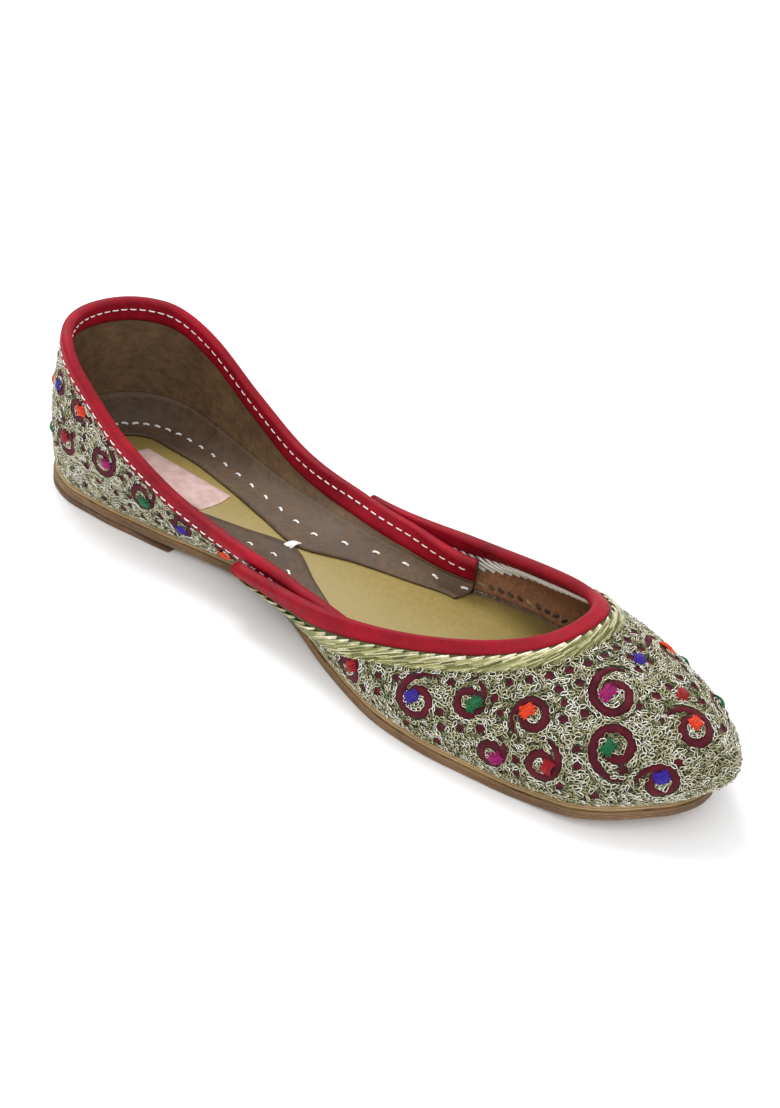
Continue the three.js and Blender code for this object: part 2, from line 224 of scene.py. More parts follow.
def quarter(around, up):
    """The heel part: its foot follows the outline, and its top leans out by the table."""
    around, up = np.broadcast_arrays(np.asarray(around, float), np.asarray(up, float))
    at, x, y, normal_x, normal_y = outline(np.abs(around) * at_to_turn(QUARTER_END))
    side = np.where(around < 0, -1.0, 1.0)

    def place(out, z):
        return xyz(x + normal_x * out, side * (y + normal_y * out), z)

    foot_z = foot_height(at)
    second = place(quarter_curve["foot_out"](at) - tuck(at), foot_z + quarter_curve["foot_up"](at))
    last = place(quarter_curve["lean"](at), quarter_curve["height"](at))
    third = mix(last, second, QUARTER_REACH)
    return bezier([place(-tuck(at), foot_z), second, third, last], up)


def vamp(around, up):
    """The front part: from the outline up to a squared oval throat that rises forwards."""
    around, up = np.broadcast_arrays(np.asarray(around, float), np.asarray(up, float))
    turn = 1 - np.abs(around)
    side = np.where(around < 0, -1.0, 1.0)
    at, x, y, normal_x, normal_y = outline(mix(at_to_turn(VAMP_START), 1, turn))
    curve = {name: vamp_curve[name](turn) for name in VAMP_TABLE}
    first = xyz(x, side * y, foot_height(at))
    out = curve["foot_out"]
    second = xyz(x + normal_x * out, side * (y + normal_y * out),
                 foot_height(at) + curve["foot_up"])
    bend = turn * np.pi / 2
    forward = np.sin(bend) ** THROAT_POWERS["forward"]
    half = THROAT_HALF * np.maximum(np.cos(bend), 0) ** THROAT_POWERS["side"]
    pull = CORNER_PULL * (1 - smooth_step(turn, 0, CORNER_TURN))
    last = xyz(mix(VAMP_START, THROAT_FRONT, forward), side * (half - pull),
               mix(THROAT_CORNER_Z, THROAT_FRONT_Z, forward ** THROAT_POWERS["rise"]))
    third = xyz(mix(last[..., 0], second[..., 0], curve["reach"]),
                mix(last[..., 1], second[..., 1], curve["reach"]),
                mix(last[..., 2], second[..., 2], curve["drop"]) + curve["crown"])
    return bezier([first, second, third, last], up)


# %% [markdown]
# Leather that has been worn or stored isn't quite smooth. A few soft troughs and ridges, less
# than a millimetre deep, run up each side of the vamp and the quarter, and fade out before the
# top line and the foot, where the binding and the sole hold the leather flat.

# %% Creases, normals and points off the surface
CREASE_LEAN = 0.05
CREASE_TABLE = {
    "vamp":    ((0.80, 0.030, -0.45), (0.70, 0.035, 0.30),
                (0.60, 0.040, -0.40), (0.40, 0.050, 0.25)),
    "quarter": ((0.88, 0.030, -0.30), (0.74, 0.040, 0.30),
                (0.62, 0.035, -0.35), (0.30, 0.060, 0.25)),
}


def creases(surface, around, up):
    """A sum of Gaussian troughs and ridges across the wall, in mm, nil at foot and top."""
    window = np.sin(np.pi * np.clip(up, 0, 1)) ** 2
    total = 0
    leaning = np.abs(around) + CREASE_LEAN * (up - 0.5)
    for place, width, depth in CREASE_TABLE[surface.__name__]:
        total = total + depth * np.exp(-((leaning - place) / width) ** 2)
    return total * window


def slopes(surface, around, up):
    """Change of the point per unit of around and per unit of up, by small steps both ways."""
    step = 1e-3
    low, high = np.maximum(around - step, -1), np.minimum(around + step, 1)
    along = (surface(high, up) - surface(low, up)) / (high - low)[..., None]
    rise = (surface(around, up + step) - surface(around, up - step)) / (2 * step)
    return along, rise


def outward(surface, around, up):
    along, rise = slopes(surface, around, up)
    normal = unit(np.cross(along, rise))
    return -normal if surface is quarter else normal


def off_surface(surface, around, up, off=0.0):
    """The point, moved out by off millimetres and by the creases, along the outward normal."""
    around, up, off = np.broadcast_arrays(around, up, off)
    height = off + creases(surface, around, up)
    return surface(around, up) + outward(surface, around, up) * height[..., None]


# %% [markdown]
# Widths of bindings, braids and rows of stitches are lengths along the leather, so a length
# below the top line is turned into the surface's own up share by walking down each section.

# %% Lengths measured along the surface
DENSE_COUNT = 801


def share_below_top(surface, around, length, steps=48):
    """The up share whose point lies that many millimetres down the section from the top."""
    around, length = np.broadcast_arrays(np.asarray(around, float), np.asarray(length, float))
    ups = np.linspace(1, 0, steps + 1)
    points = surface(around[..., None], ups)
    strides = np.linalg.norm(np.diff(points, axis=-2), axis=-1)
    walked = np.concatenate([np.zeros(around.shape + (1,)), np.cumsum(strides, -1)], -1)
    i = np.clip((walked < length[..., None]).sum(-1), 1, steps)
    start = np.take_along_axis(walked, i[..., None] - 1, -1)[..., 0]
    stride = np.take_along_axis(strides, i[..., None] - 1, -1)[..., 0]
    return np.clip(1 - (i - 1 + (length - start) / stride) / steps, 0, 1)


def evenly_round(surface, up_of, pitch, start=-1.0, stop=1.0, shift=0.5):
    """Around values spaced by pitch millimetres along the line whose up share is up_of(around)."""
    dense = np.linspace(start, stop, DENSE_COUNT)
    points = surface(dense, up_of(dense))
    walked = np.concatenate([[0], np.cumsum(np.linalg.norm(np.diff(points, axis=0), axis=1))])
    count = max(int(walked[-1] / pitch), 1)
    return np.interp((np.arange(count) + shift) * walked[-1] / count, walked, dense)


def at_share(share):
    """A line that keeps one up share all the way round."""
    return lambda around: 0 * around + share


def at_length(surface, below):
    """A line that keeps one length below the top all the way round."""
    return lambda around: share_below_top(surface, around, below)


throat_length = evenly_round(vamp, at_share(1), 1).size
print(f"the throat's top line is about {throat_length} mm long")


# %% [markdown]
# ## From arrays to meshes
# Every piece is a grid of points or a great many small tubes, joined in one array. Quads are
# numbered by arithmetic, corners that meet are merged, and a signed volume tells whether the
# faces point outwards.

# %% Mesh helpers
def grid_quads(rows, columns, close_rows=False, close_columns=True):
    """Corner numbers of the quads of a grid whose points are numbered row by row."""
    i = np.arange(rows if close_rows else rows - 1)[:, None]
    j = np.arange(columns if close_columns else columns - 1)[None]
    i2, j2 = (i + 1) % rows, (j + 1) % columns
    quads = np.stack([i * columns + j, i * columns + j2, i2 * columns + j2, i2 * columns + j], -1)
    return quads.reshape(-1, 4)


def ring_solid(rings):
    """Closed rings of points, rows of a grid, with a strip of quads over each end."""
    rows, count = rings.shape[:2]
    i = np.arange(count // 2 - 1)
    strip = np.stack([i, i + 1, count - 2 - i, count - 1 - i], -1)
    last = (rows - 1) * count
    return rings.reshape(-1, 3), [grid_quads(rows, count), strip, (strip + last)[:, ::-1]]


def weld(points, faces, fields):
    """Merges points that lie within a ten-thousandth of a millimetre and drops empty faces."""
    _, first, number = np.unique(np.round(points, 4), axis=0,
                                 return_index=True, return_inverse=True)
    number = number.ravel()
    kept = []
    for corners in faces:
        corners = number[corners]
        same = corners == np.roll(corners, -1, 1)
        kept.append(corners[~same.any(1)])
        if corners.shape[1] == 4:
            apart = (corners[:, 0] != corners[:, 2]) & (corners[:, 1] != corners[:, 3])
            flat = (same.sum(1) == 1) & apart
            pinched = corners[flat]
            order = (same[flat].argmax(1)[:, None] + np.arange(1, 4)) % 4
            kept.append(np.take_along_axis(pinched, order, 1))
    return points[first], kept, {name: values[first] for name, values in fields.items()}


def signed_volume(points, faces):
    """Sum over triangles of corner dot corner cross corner, a sixth of it: positive if outward."""
    total = 0
    for corners in faces:
        for k in range(1, corners.shape[1] - 1):
            a, b, c = points[corners[:, 0]], points[corners[:, k]], points[corners[:, k + 1]]
            total += np.einsum("ij,ij->", a, np.cross(b, c)) / 6
    return total


def new_piece(name, solid, material, stands_for=(), fields=None):
    """Makes the mesh from millimetres, hangs it on the shoe's body and prints its size."""
    points, faces, fields = weld(*solid, fields or {})
    if signed_volume(points, faces) < 0:
        faces = [corners[:, ::-1] for corners in faces]
    faces = [corners for corners in faces if len(corners)]
    sizes = np.concatenate([np.full(len(corners), corners.shape[1]) for corners in faces])
    mesh = bpy.data.meshes.new(name)
    mesh.vertices.add(len(points))
    mesh.loops.add(int(sizes.sum()))
    mesh.polygons.add(len(sizes))
    metres = (points + np.array([HEEL_BACK, 0, 0])) / 1000
    mesh.vertices.foreach_set("co", metres.astype(np.float32).ravel())
    corner_list = np.concatenate([corners.ravel() for corners in faces])
    mesh.loops.foreach_set("vertex_index", corner_list.astype(np.int32))
    starts = np.concatenate([[0], np.cumsum(sizes)[:-1]])
    mesh.polygons.foreach_set("loop_start", starts.astype(np.int32))
    mesh.polygons.foreach_set("use_smooth", np.ones(len(sizes), bool))
    for field, values in fields.items():
        is_number = values.ndim == 1
        attribute = mesh.attributes.new(field, "FLOAT" if is_number else "FLOAT_COLOR", "POINT")
        key = "value" if is_number else "color"
        attribute.data.foreach_set(key, values.astype(np.float32).ravel())
    mesh.update(calc_edges=True)
    mesh.materials.append(material)
    piece = bpy.data.objects.new(name, mesh)
    bpy.context.scene.collection.objects.link(piece)
    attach(piece, "root")
    if stands_for:
        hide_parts(*stands_for)
    print(f"{name}: {int((sizes - 2).sum())} triangles")
    return piece


def sharpen(piece, degrees=40):
    """Marks the edges between faces that meet at more than this angle as sharp."""
    piece.data.set_sharp_from_angle(angle=np.radians(degrees))
    return piece


def tubes(paths, normals, wide, high, sides=4, closed=False):
    """Many tubes at once: each path carries rings, wide across and high along the normal."""
    count, length = paths.shape[:2]
    ahead = np.roll(paths, -1, 1) - np.roll(paths, 1, 1)
    if not closed:
        ahead[:, 0] = paths[:, 1] - paths[:, 0]
        ahead[:, -1] = paths[:, -1] - paths[:, -2]
    ahead = unit(ahead)
    across = unit(np.cross(ahead, normals))
    raised = np.cross(across, ahead)
    angle = 2 * np.pi * (np.arange(sides) + 0.5) / sides
    wide = np.broadcast_to(wide, (count, length))[..., None, None]
    high = np.broadcast_to(high, (count, length))[..., None, None]
    ring = (paths[:, :, None] + across[:, :, None] * wide * np.cos(angle)[:, None]
            + raised[:, :, None] * high * np.sin(angle)[:, None])
    first = (np.arange(count) * length * sides)[:, None]
    quads = (grid_quads(length, sides, close_rows=closed)[None] + first[..., None]).reshape(-1, 4)
    faces = [quads]
    if not closed:
        faces.append(first + np.arange(sides)[None])
        faces.append(first + (length - 1) * sides + np.arange(sides)[None, ::-1])
    return ring.reshape(-1, 3), faces


# %% [markdown]
# ## Finishes
# Each finish is a small graph of nodes on a Principled shader. One helper adds a node and
# links it in one line, which keeps each recipe short enough to read as a recipe.

# %% Material helpers
def paint(code):
    """A colour as it looks on screen, such as 7a1020, turned into the shader's linear light."""
    parts = np.array([int(code[i:i + 2], 16) for i in (0, 2, 4)]) / 255
    linear = np.where(parts <= 0.04045, parts / 12.92, ((parts + 0.055) / 1.055) ** 2.4)
    return (*linear, 1.0)


def grey(value):
    return (value, value, value, 1.0)


class Recipe:
    """A new material with helpers that add nodes to it."""

    def __init__(self, name, roughness, metallic=0.0, **sockets):
        self.material = bpy.data.materials.new(name)
        self.material.use_nodes = True
        self.tree = self.material.node_tree
        self.shader = self.tree.nodes["Principled BSDF"]
        self.set(self.shader, {"Roughness": roughness, "Metallic": metallic, **sockets})
        self.place = self.add("ShaderNodeTexCoord").outputs["Object"]

    def set(self, node, inputs):
        for key, value in inputs.items():
            if isinstance(value, bpy.types.NodeSocket):
                self.tree.links.new(value, node.inputs[key])
            else:
                node.inputs[key].default_value = value

    def add(self, kind, inputs=None, **settings):
        node = self.tree.nodes.new(kind)
        for key, value in settings.items():
            setattr(node, key, value)
        self.set(node, inputs or {})
        return node

    def noise(self, scale, detail=3.0, roughness=0.55, vector=None):
        inputs = {"Vector": vector or self.place, "Scale": scale, "Detail": detail}
        return self.add("ShaderNodeTexNoise", {**inputs, "Roughness": roughness}).outputs["Fac"]

    def ramp(self, value, *stops):
        """A colour ramp with stops of (place, colour)."""
        node = self.add("ShaderNodeValToRGB", {"Fac": value})
        elements = node.color_ramp.elements
        for i, (place, colour) in enumerate(stops):
            element = elements[i] if i < 2 else elements.new(place)
            element.position, element.color = place, colour
        return node.outputs["Color"]

    def math(self, operation, first, second=0.0):
        return self.add("ShaderNodeMath", {0: first, 1: second}, operation=operation).outputs[0]

    def blend(self, share, first, second, kind="MIX"):
        node = self.add("ShaderNodeMix", data_type="RGBA", blend_type=kind)
        self.set(node, {0: share, 6: first, 7: second})
        return node.outputs[2]

    def stretch(self, x, y, z):
        node = self.add("ShaderNodeMapping", {"Vector": self.place, "Scale": (x, y, z)})
        return node.outputs["Vector"]

    def attribute(self, name):
        return self.add("ShaderNodeAttribute", attribute_name=name)

    def bump(self, height, distance, strength=1.0, below=None):
        inputs = {"Height": height, "Distance": distance, "Strength": strength}
        if below is not None:
            inputs["Normal"] = below
        return self.add("ShaderNodeBump", inputs).outputs["Normal"]

    def finish(self, colour, normal=None, roughness=None):
        self.set(self.shader, {"Base Color": colour})
        if normal is not None:
            self.set(self.shader, {"Normal": normal})
        if roughness is not None:
            self.set(self.shader, {"Roughness": roughness})
        return self.material


# %% [markdown]
# Leather is a fine cell pattern under a broad, cloudy change of tone. An image of real leather
# would do too, but it needs a file and a flat layout. Noise and cells read the piece's own place
# in space, so they need neither. One function gives the lift, binding, lining, suede and sock
# leathers, each with its own colours, grain size and gloss.

# %% Leathers
def leather(name, dark, light, grain, depth, roughness, cloud=28.0, speck=0.72, **sockets):
    """Cloudy colour between two tones, with a Voronoi grain of cells as bump."""
    recipe = Recipe(name, roughness, **sockets)
    tone = recipe.noise(cloud, 6.0, 0.62)
    colour = recipe.ramp(tone, (0.32, paint(dark)), (0.68, paint(light)))
    cells = recipe.add("ShaderNodeTexVoronoi", {"Vector": recipe.place, "Scale": grain})
    pores = recipe.noise(grain * 0.5, 4.0, 0.6)
    speckle = recipe.ramp(pores, (0.42, grey(speck)), (0.6, grey(1)))
    colour = recipe.blend(1.0, colour, speckle, "MULTIPLY")
    fine = recipe.bump(cells.outputs["Distance"], depth, 0.7)
    soft = recipe.bump(pores, depth * 1.5, 0.6, below=fine)
    rough = recipe.ramp(pores, (0.3, grey(roughness - 0.08)), (0.7, grey(roughness + 0.1)))
    return recipe.finish(colour, soft, rough)


lift_leather = leather("lift_leather", "5a3f2a", "77573a", 900, 0.00015, 0.7)
binding_leather = leather("binding_leather", "720616", "9e0c22", 700, 0.00008, 0.55, 60.0, 0.85,
                          **{"Specular IOR Level": 0.15})
lining_leather = leather("lining_leather", "564029", "725739", 450, 0.00035, 0.62, 28.0, 0.8)
# The turned lining is the wall lining's leather painted darker: painted shade at the bottom of the
# shoe.
shaded_lining_leather = leather("shaded_lining_leather", "4a3725", "665039", 450, 0.0003, 0.66, 28.0, 0.8)
vamp_suede = leather("vamp_suede", "7e543a", "a5744f", 1500, 0.00022, 0.85, 45.0)
sock_leather = leather("sock_leather", "928046", "9c884a", 1100, 0.00006, 0.5, 28.0, 0.93)


# %% [markdown]
# The sole's edge shows its layers: vegetable tanned leather split and glued, so thin darker
# lines run along it. They could be drawn by plain height, but a height would cut across the
# arch and the toe spring. A field on the mesh, the share from bottom to top, follows both.

# %% Sole and midsole
def layered(name, dark, light, line, layers, roughness):
    """Leather with lines across the field named layer, wavering a little along the sole."""
    recipe = Recipe(name, roughness)
    layer = recipe.attribute("layer").outputs["Fac"]
    waver = recipe.math("MULTIPLY", recipe.noise(90.0), 0.22)
    phase = recipe.math("MULTIPLY", recipe.math("ADD", layer, waver), layers * 2 * np.pi)
    wave = recipe.math("SINE", phase)
    fibres = recipe.noise(1.0, 5.0, 0.6, recipe.stretch(300, 300, 2600))
    tone = recipe.ramp(recipe.noise(38.0, 5.0), (0.3, paint(dark)), (0.7, paint(light)))
    lines = recipe.ramp(recipe.math("ADD", recipe.math("MULTIPLY", wave, 0.3), fibres),
                        (0.34, paint(line)), (0.52, grey(1)))
    colour = recipe.blend(0.8, tone, lines, "MULTIPLY")
    normal = recipe.bump(wave, 0.00012, 0.6)
    normal = recipe.bump(fibres, 0.0002, 0.7, below=normal)
    return recipe.finish(colour, normal)


sole_leather = layered("sole_leather", "6e5236", "93724c", "85705a", 4, 0.6)
midsole_leather = layered("midsole_leather", "927850", "b59a6f", "a08a68", 2, 0.65)


# %% [markdown]
# The cloth is plain maroon, and almost all of it is buried under metal thread. Between the
# loops one sees the bed of thread in shadow, with that shadow painted in: dark green and brown
# with pale flecks, where the darkness is painted shade and painted dark reflections of the metal.
# Loops laid twice as close would hide the bed, at twice the faces, so a tangled pattern stands for
# it.

# %% Cloth and thread bed
def cloth(name, dark, light, roughness):
    """A plain weave: two sets of ribs at right angles, and a soft sheen."""
    recipe = Recipe(name, roughness, **{"Sheen Weight": 0.05, "Specular IOR Level": 0.2})
    waves = {"Vector": recipe.place, "Scale": 900.0, "Distortion": 0.6}
    ribs = recipe.add("ShaderNodeTexWave", waves)
    cross = recipe.add("ShaderNodeTexWave", waves, bands_direction="Z")
    weave = recipe.math("MULTIPLY", ribs.outputs["Fac"], cross.outputs["Fac"])
    tone = recipe.ramp(recipe.noise(260.0, 4.0), (0.35, paint(dark)), (0.65, paint(light)))
    return recipe.finish(tone, recipe.bump(weave, 0.00012, 0.8))


def thread_bed():
    """Tangled thread, darkened as painted shade: noise for the tangle, and cells whose edges are
    painted shade between the threads.
    """
    recipe = Recipe("shaded_embroidery_bed", 0.55, 0.35)
    cells = recipe.add("ShaderNodeTexVoronoi", {"Vector": recipe.place, "Scale": 1500.0},
                       feature="DISTANCE_TO_EDGE").outputs["Distance"]
    tangle = recipe.noise(1300.0, 3.0, 0.7)
    # The tangle's colours are thread, darkened as painted shade and painted dark reflections.
    colour = recipe.ramp(tangle, (0.36, paint("17130c")), (0.47, paint("3a3a22")),
                         (0.57, paint("767854")), (0.7, paint("cfcba8")))
    # Dark cell edges: painted shade between the threads.
    painted_gap_shade = recipe.ramp(cells, (0.02, paint("3a1d1c")), (0.16, grey(1)))
    colour = recipe.blend(1.0, colour, painted_gap_shade, "MULTIPLY")
    normal = recipe.bump(tangle, 0.0004, 0.9)
    return recipe.finish(colour, recipe.bump(cells, 0.0003, 0.8, below=normal))


maroon_cloth = cloth("maroon_cloth", "420a18", "5c1322", 0.85)
patch_cloth = cloth("patch_cloth", "c6a49e", "d6bab2", 0.9)
shaded_embroidery_bed = thread_bed()


# %% [markdown]
# Metal thread is a flat strip wound on a core, so it glitters along its length. A material
# for each shade would work, but a field on the mesh needs only one: tone gives each stitch its
# own shade, from green gold to cream silver. Cotton is made in the same way, and the field
# silk holds each silk knot's whole colour.

# %% Threads
def thread(name, roughness, metallic, stops, twist=2600.0, **sockets):
    """Colour from the stitch's own tone, with fine twisted fibres as bump."""
    recipe = Recipe(name, roughness, metallic, **sockets)
    tone = recipe.attribute("tone").outputs["Fac"]
    colour = recipe.ramp(tone, *[(place, paint(code)) for place, code in stops])
    fibres = recipe.noise(twist, 2.0, 0.7)
    shade = recipe.ramp(fibres, (0.35, grey(0.62)), (0.6, grey(1)))
    colour = recipe.blend(0.8, colour, shade, "MULTIPLY")
    return recipe.finish(colour, recipe.bump(fibres, 0.0001, 0.6))


def silk():
    """Each knot's own colour from the field silk, with fine fibres and a soft sheen."""
    recipe = Recipe("silk_thread", 0.45, **{"Sheen Weight": 0.04, "Specular IOR Level": 0.25})
    own = recipe.attribute("silk").outputs["Color"]
    fibres = recipe.noise(2400.0, 3.0, 0.7)
    shade = recipe.ramp(fibres, (0.35, grey(0.6)), (0.62, grey(1)))
    colour = recipe.blend(0.8, own, shade, "MULTIPLY")
    return recipe.finish(colour, recipe.bump(fibres, 0.0002, 0.7))


zari_thread = thread("zari_thread", 0.27, 0.6,
                     [(0, "83845a"), (0.3, "c4c096"), (0.65, "e6e2c6"), (1, "fffdf4")])
metallic_braid = thread("metallic_braid", 0.36, 0.45,
                        [(0, "3c4420"), (0.3, "7c8046"), (0.65, "bdb886"), (1, "fbf0d8")], 1500.0)
cotton_thread = thread("cotton_thread", 0.75, 0.0, [(0, "e6dfd4"), (1, "ffffff")])
dark_thread = thread("dark_thread", 0.75, 0.0,
                     [(0, "17100c"), (0.5, "2e2219"), (0.8, "6a563a"), (1, "b39c6c")])
silk_thread = silk()


# %% [markdown]
# ## Sole, midsole and heel lift
# A sole is cut with a knife, so its edge is almost upright, with softened corners and faint
# grooves between its layers. A flat outline with a bevel would give the corners but not the
# grooves. So the edge's profile is a short table of insets, carried along the outline on both
# sides at once, and the rings meet in one line at heel and toe.

# %% Layers with the last's outline
OUTSOLE_EDGE = {"share": (0, 0.05, 0.18, 0.33, 0.42, 0.56, 0.66, 0.8, 0.93, 1),
                "inset": (0.7, 0.2, 0, 0.03, 0.14, 0.02, 0.13, 0, 0.18, 0.6)}
PLAIN_EDGE = {"share": (0, 0.15, 0.5, 0.85, 1), "inset": (0.4, 0.06, 0, 0.06, 0.4)}


def layer_solid(margin, bottom, top, edge, turns):
    """Rings across the shoe: up the edge's profile on one side and down it on the other."""
    share, inset = (np.array(edge[key], float) for key in ("share", "inset"))
    turn = turns[:, None]
    wander = 0.12 * np.sin(41 * turn) + 0.08 * np.sin(97 * turn + share)
    at, x, y, _, _ = outline(turn + 0 * share, margin(turn_to_at(turn)) - inset + wander)
    z = mix(bottom(at), top(at), share)
    rings = np.concatenate([xyz(x, y, z), xyz(x, -y, z)[:, ::-1]], 1)
    layer = np.broadcast_to(np.concatenate([share, share[::-1]]), rings.shape[:2])
    return ring_solid(rings), {"layer": layer.ravel()}


ALL_TURNS = np.linspace(0, 1, 181)


def outsole_top(at):
    return sole_bottom(at) + OUTSOLE_THICK


def lift_top(at):
    thin = smooth_step(at, HEEL_LIFT_LENGTH - SKIVE_LENGTH, HEEL_LIFT_LENGTH)
    return mix(HEEL_LIFT_THICK, SKIVE_EDGE, thin)


solid, fields = layer_solid(lambda at: SOLE_MARGIN, sole_bottom, outsole_top,
                            OUTSOLE_EDGE, ALL_TURNS)
sharpen(new_piece("sole", solid, sole_leather, ["outsole"], fields))

solid, fields = layer_solid(lambda at: MIDSOLE_MARGIN, lambda at: outsole_top(at) + 0.05,
                            lambda at: outsole_top(at) + FIT + MIDSOLE_THICK,
                            PLAIN_EDGE, ALL_TURNS)
sharpen(new_piece("pale_midsole", solid, midsole_leather, ["midsole"], fields))

lift_turns = np.linspace(0, at_to_turn(HEEL_LIFT_LENGTH), 70)
solid, fields = layer_solid(lambda at: SOLE_MARGIN, lambda at: 0 * at, lift_top,
                            PLAIN_EDGE, lift_turns)
sharpen(new_piece("lift", solid, lift_leather, ["heel_lift"], fields))

solid, fields = layer_solid(lambda at: -(WALL + 2 * FIT + tuck(at)), foot_height,
                            lambda at: foot_height(at) + INSOLE_THICK, PLAIN_EDGE, ALL_TURNS)
sharpen(new_piece("sock", solid, sock_leather, ["insole"], fields))


# %% [markdown]
# ## The walls of the upper
# The real upper is cloth and lining glued back to back. One sheet with a Solidify modifier
# could be both, but cloth and lining have their own finish. So each is a closed sheet from the
# same surface, and together they are as thick as the solid's wall.

# %% Cloth and linings
def wall_sheet(surface, outside, inside, around_count, up_count):
    """A closed sheet between two offsets of a surface, one ring for each section."""
    around = np.linspace(-1, 1, around_count)[:, None]
    ups = np.linspace(0, 1, up_count)[None]
    front = off_surface(surface, around, ups, outside)
    back = off_surface(surface, around, ups, inside)
    return ring_solid(np.concatenate([front, back[:, ::-1]], 1))


CLOTH = (0.0, -0.95)
LINING = (-1.0, -WALL)
# The cloth walls wear the thread bed, whose dark colours are painted shade.
new_piece("vamp_cloth", wall_sheet(vamp, *CLOTH, 221, 32),
          shaded_embroidery_bed, ["upper"])
new_piece("vamp_lining", wall_sheet(vamp, *LINING, 161, 24),
          vamp_suede, ["upper"])
new_piece("quarter_cloth", wall_sheet(quarter, *CLOTH, 201, 24),
          shaded_embroidery_bed, ["upper"])
new_piece("quarter_lining", wall_sheet(quarter, *LINING, 161, 20),
          lining_leather, ["upper"])


# %% [markdown]
# ## The folded bindings
# A strip of thin red leather is folded over each top line. A bevelled curve could only give a
# round cord, so the fold's own section is carried along instead. It goes up the outside, round
# the edge in half an oval and down the inside, and the outer face thins at both cut edges.

# %% Bindings
BINDING_NEAR = 0.06
CUT_THINNING, CUT_PINCH = 0.6, 0.7


def binding_section(surface, around, widths, near, far, flap_cuts=7, over_cuts=9):
    """Two paths over the top line, one near the wall and one far from it, joined into rings."""
    cuts = np.linspace(1, 0, flap_cuts)[None]
    centre = off_surface(surface, around, 1.0 + 0 * around, -WALL / 2)
    normal = outward(surface, around, 1.0 + 0 * around)
    up = unit(surface(around, 1.0) - surface(around, 0.98))
    angle = np.linspace(0, np.pi, over_cuts + 2)[1:-1]

    def path(off, rise, pinch):
        def flap(length, side):
            share = share_below_top(surface, around[:, None], length * cuts)
            thin = pinch * np.clip(1 - (1 - cuts) * length / CUT_THINNING, 0, 1)
            distance = off - thin
            offset = distance if side > 0 else -WALL - distance
            return off_surface(surface, around[:, None], share, offset)
        over = (centre[:, None] + normal[:, None] * (np.cos(angle) * (WALL / 2 + off))[:, None]
                + up[:, None] * (np.sin(angle) * rise)[:, None])
        outside, inside = flap(widths["outside"], 1), flap(widths["inside"], -1)
        return np.concatenate([outside, over, inside[:, ::-1]], 1)

    outer = path(far, far + 0.4, (far - near) * CUT_PINCH)
    inner = path(near, near + 0.2, 0.0)
    return np.concatenate([outer, inner[:, ::-1]], 1)


def binding(name, surface, widths, count, node):
    around = np.linspace(-1, 1, count)
    rings = binding_section(surface, around, widths, BINDING_NEAR, BINDING_THICK)
    return new_piece(name, ring_solid(rings), binding_leather, [node])


binding("collar_fold", quarter, COLLAR_BINDING, 241, "collar_binding")
binding("throat_fold", vamp, THROAT_BINDING, 241, "throat_binding")


# %% [markdown]
# ## The turned-in lining
# At the foot of the quarter the lining is turned in over the sock and stitched down. Its two
# inner edges meet at the narrow waist, under a short tack of white thread, and leave the sock
# bare in front and behind: a bow-tie of khaki leather. Cloth simulation could drape it, but a
# Bezier from wall to edge is steady and keeps the inner edge on its table.

# %% Turned-in lining and its hand stitches
SOCK_TABLE = {
    "at":   (9, 20, 36, 58, 80, 97, 115, 130, 146),
    "half": (10.5, 12.5, 12.5, 9.5, 4.5, 0.5, 9, 15.5, 21),
}
SOCK_BACK, SOCK_ROUND, WAIST = 9, 12, 97
bare_half = curve_through(SOCK_TABLE, "at", "half")
STITCH_TABLE = {"at": (0, 60, 97, 115, 146), "share": (0.62, 0.66, 0.7, 0.45, 0.3)}
stitch_share = curve_through(STITCH_TABLE, "at", "share")
TURN_UP, CORNER_IN, LINING_REST = 0.26, 2.2, 0.1
LINING_LIFT = 0.7


def turned_lining(around, share, lift):
    """A Bezier from the wall, round the corner and in over the sock, raised by lift mm."""
    around, share, lift = np.broadcast_arrays(around, share, lift)
    turn = np.abs(around) * at_to_turn(QUARTER_END)
    side = np.where(around < 0, -1.0, 1.0)
    corner_in = WALL + lift + CORNER_IN + tuck(turn_to_at(turn))
    at, corner_x, corner_y, _, _ = outline(turn, -corner_in)
    base = foot_height(at) + INSOLE_THICK + LINING_REST
    first = off_surface(quarter, around, TURN_UP, -WALL - lift)
    second = off_surface(quarter, around, TURN_UP * 0.3, -WALL - lift - 0.2)
    edge_at = np.where(at < WAIST, SOCK_BACK + at * (WAIST - SOCK_BACK) / WAIST, at)
    back = np.clip((SOCK_BACK + SOCK_ROUND - edge_at) / SOCK_ROUND, 0, 1)
    edge_half = bare_half(edge_at) * np.sqrt(1 - back ** 2)
    edge_z = foot_height(edge_at) + INSOLE_THICK + LINING_REST + lift
    third = xyz(corner_x, side * corner_y, base + lift)
    return bezier([first, second, third, xyz(edge_at, side * edge_half, edge_z)], share)


around = np.linspace(-1, 1, 181)[:, None]
shares = np.linspace(0, 1, 12)[None]
upper_face = turned_lining(around, shares, LINING_LIFT)
lower_face = turned_lining(around, shares, 0.05)
rings = np.concatenate([upper_face, lower_face[:, ::-1]], 1)
# Its leather is the lining leather, darkened as painted shade.
new_piece("turned_lining", ring_solid(rings), shaded_lining_leather)


# %% [markdown]
# ## Stitches
# A stitch is a short piece of thread that comes up, lies on the leather and goes down again.
# A copied object for each would do, but hundreds of objects are slow to draw and to export.
# So each stitch is a tube on a low arch, and all the stitches of a piece are one mesh.

# %% Rows of stitches
def arch(middles, ahead, normals, length, height, points=6):
    """Paths that rise height over the middles and sink at both ends, and a normal per point."""
    share = np.linspace(-1, 1, points)
    rise = height * (1 - 1.6 * share ** 2)
    paths = (middles[:, None] + ahead[:, None] * (share * length / 2)[:, None]
             + normals[:, None] * rise[:, None])
    return paths, np.repeat(normals[:, None], points, 1)


RUN_PITCH, RUN_LENGTH, RUN_HEIGHT = 3.4, 2.1, 0.16
RUN_BELOW, RUN_END, RUN_SLANT = 2.4, 0.99, 0.04


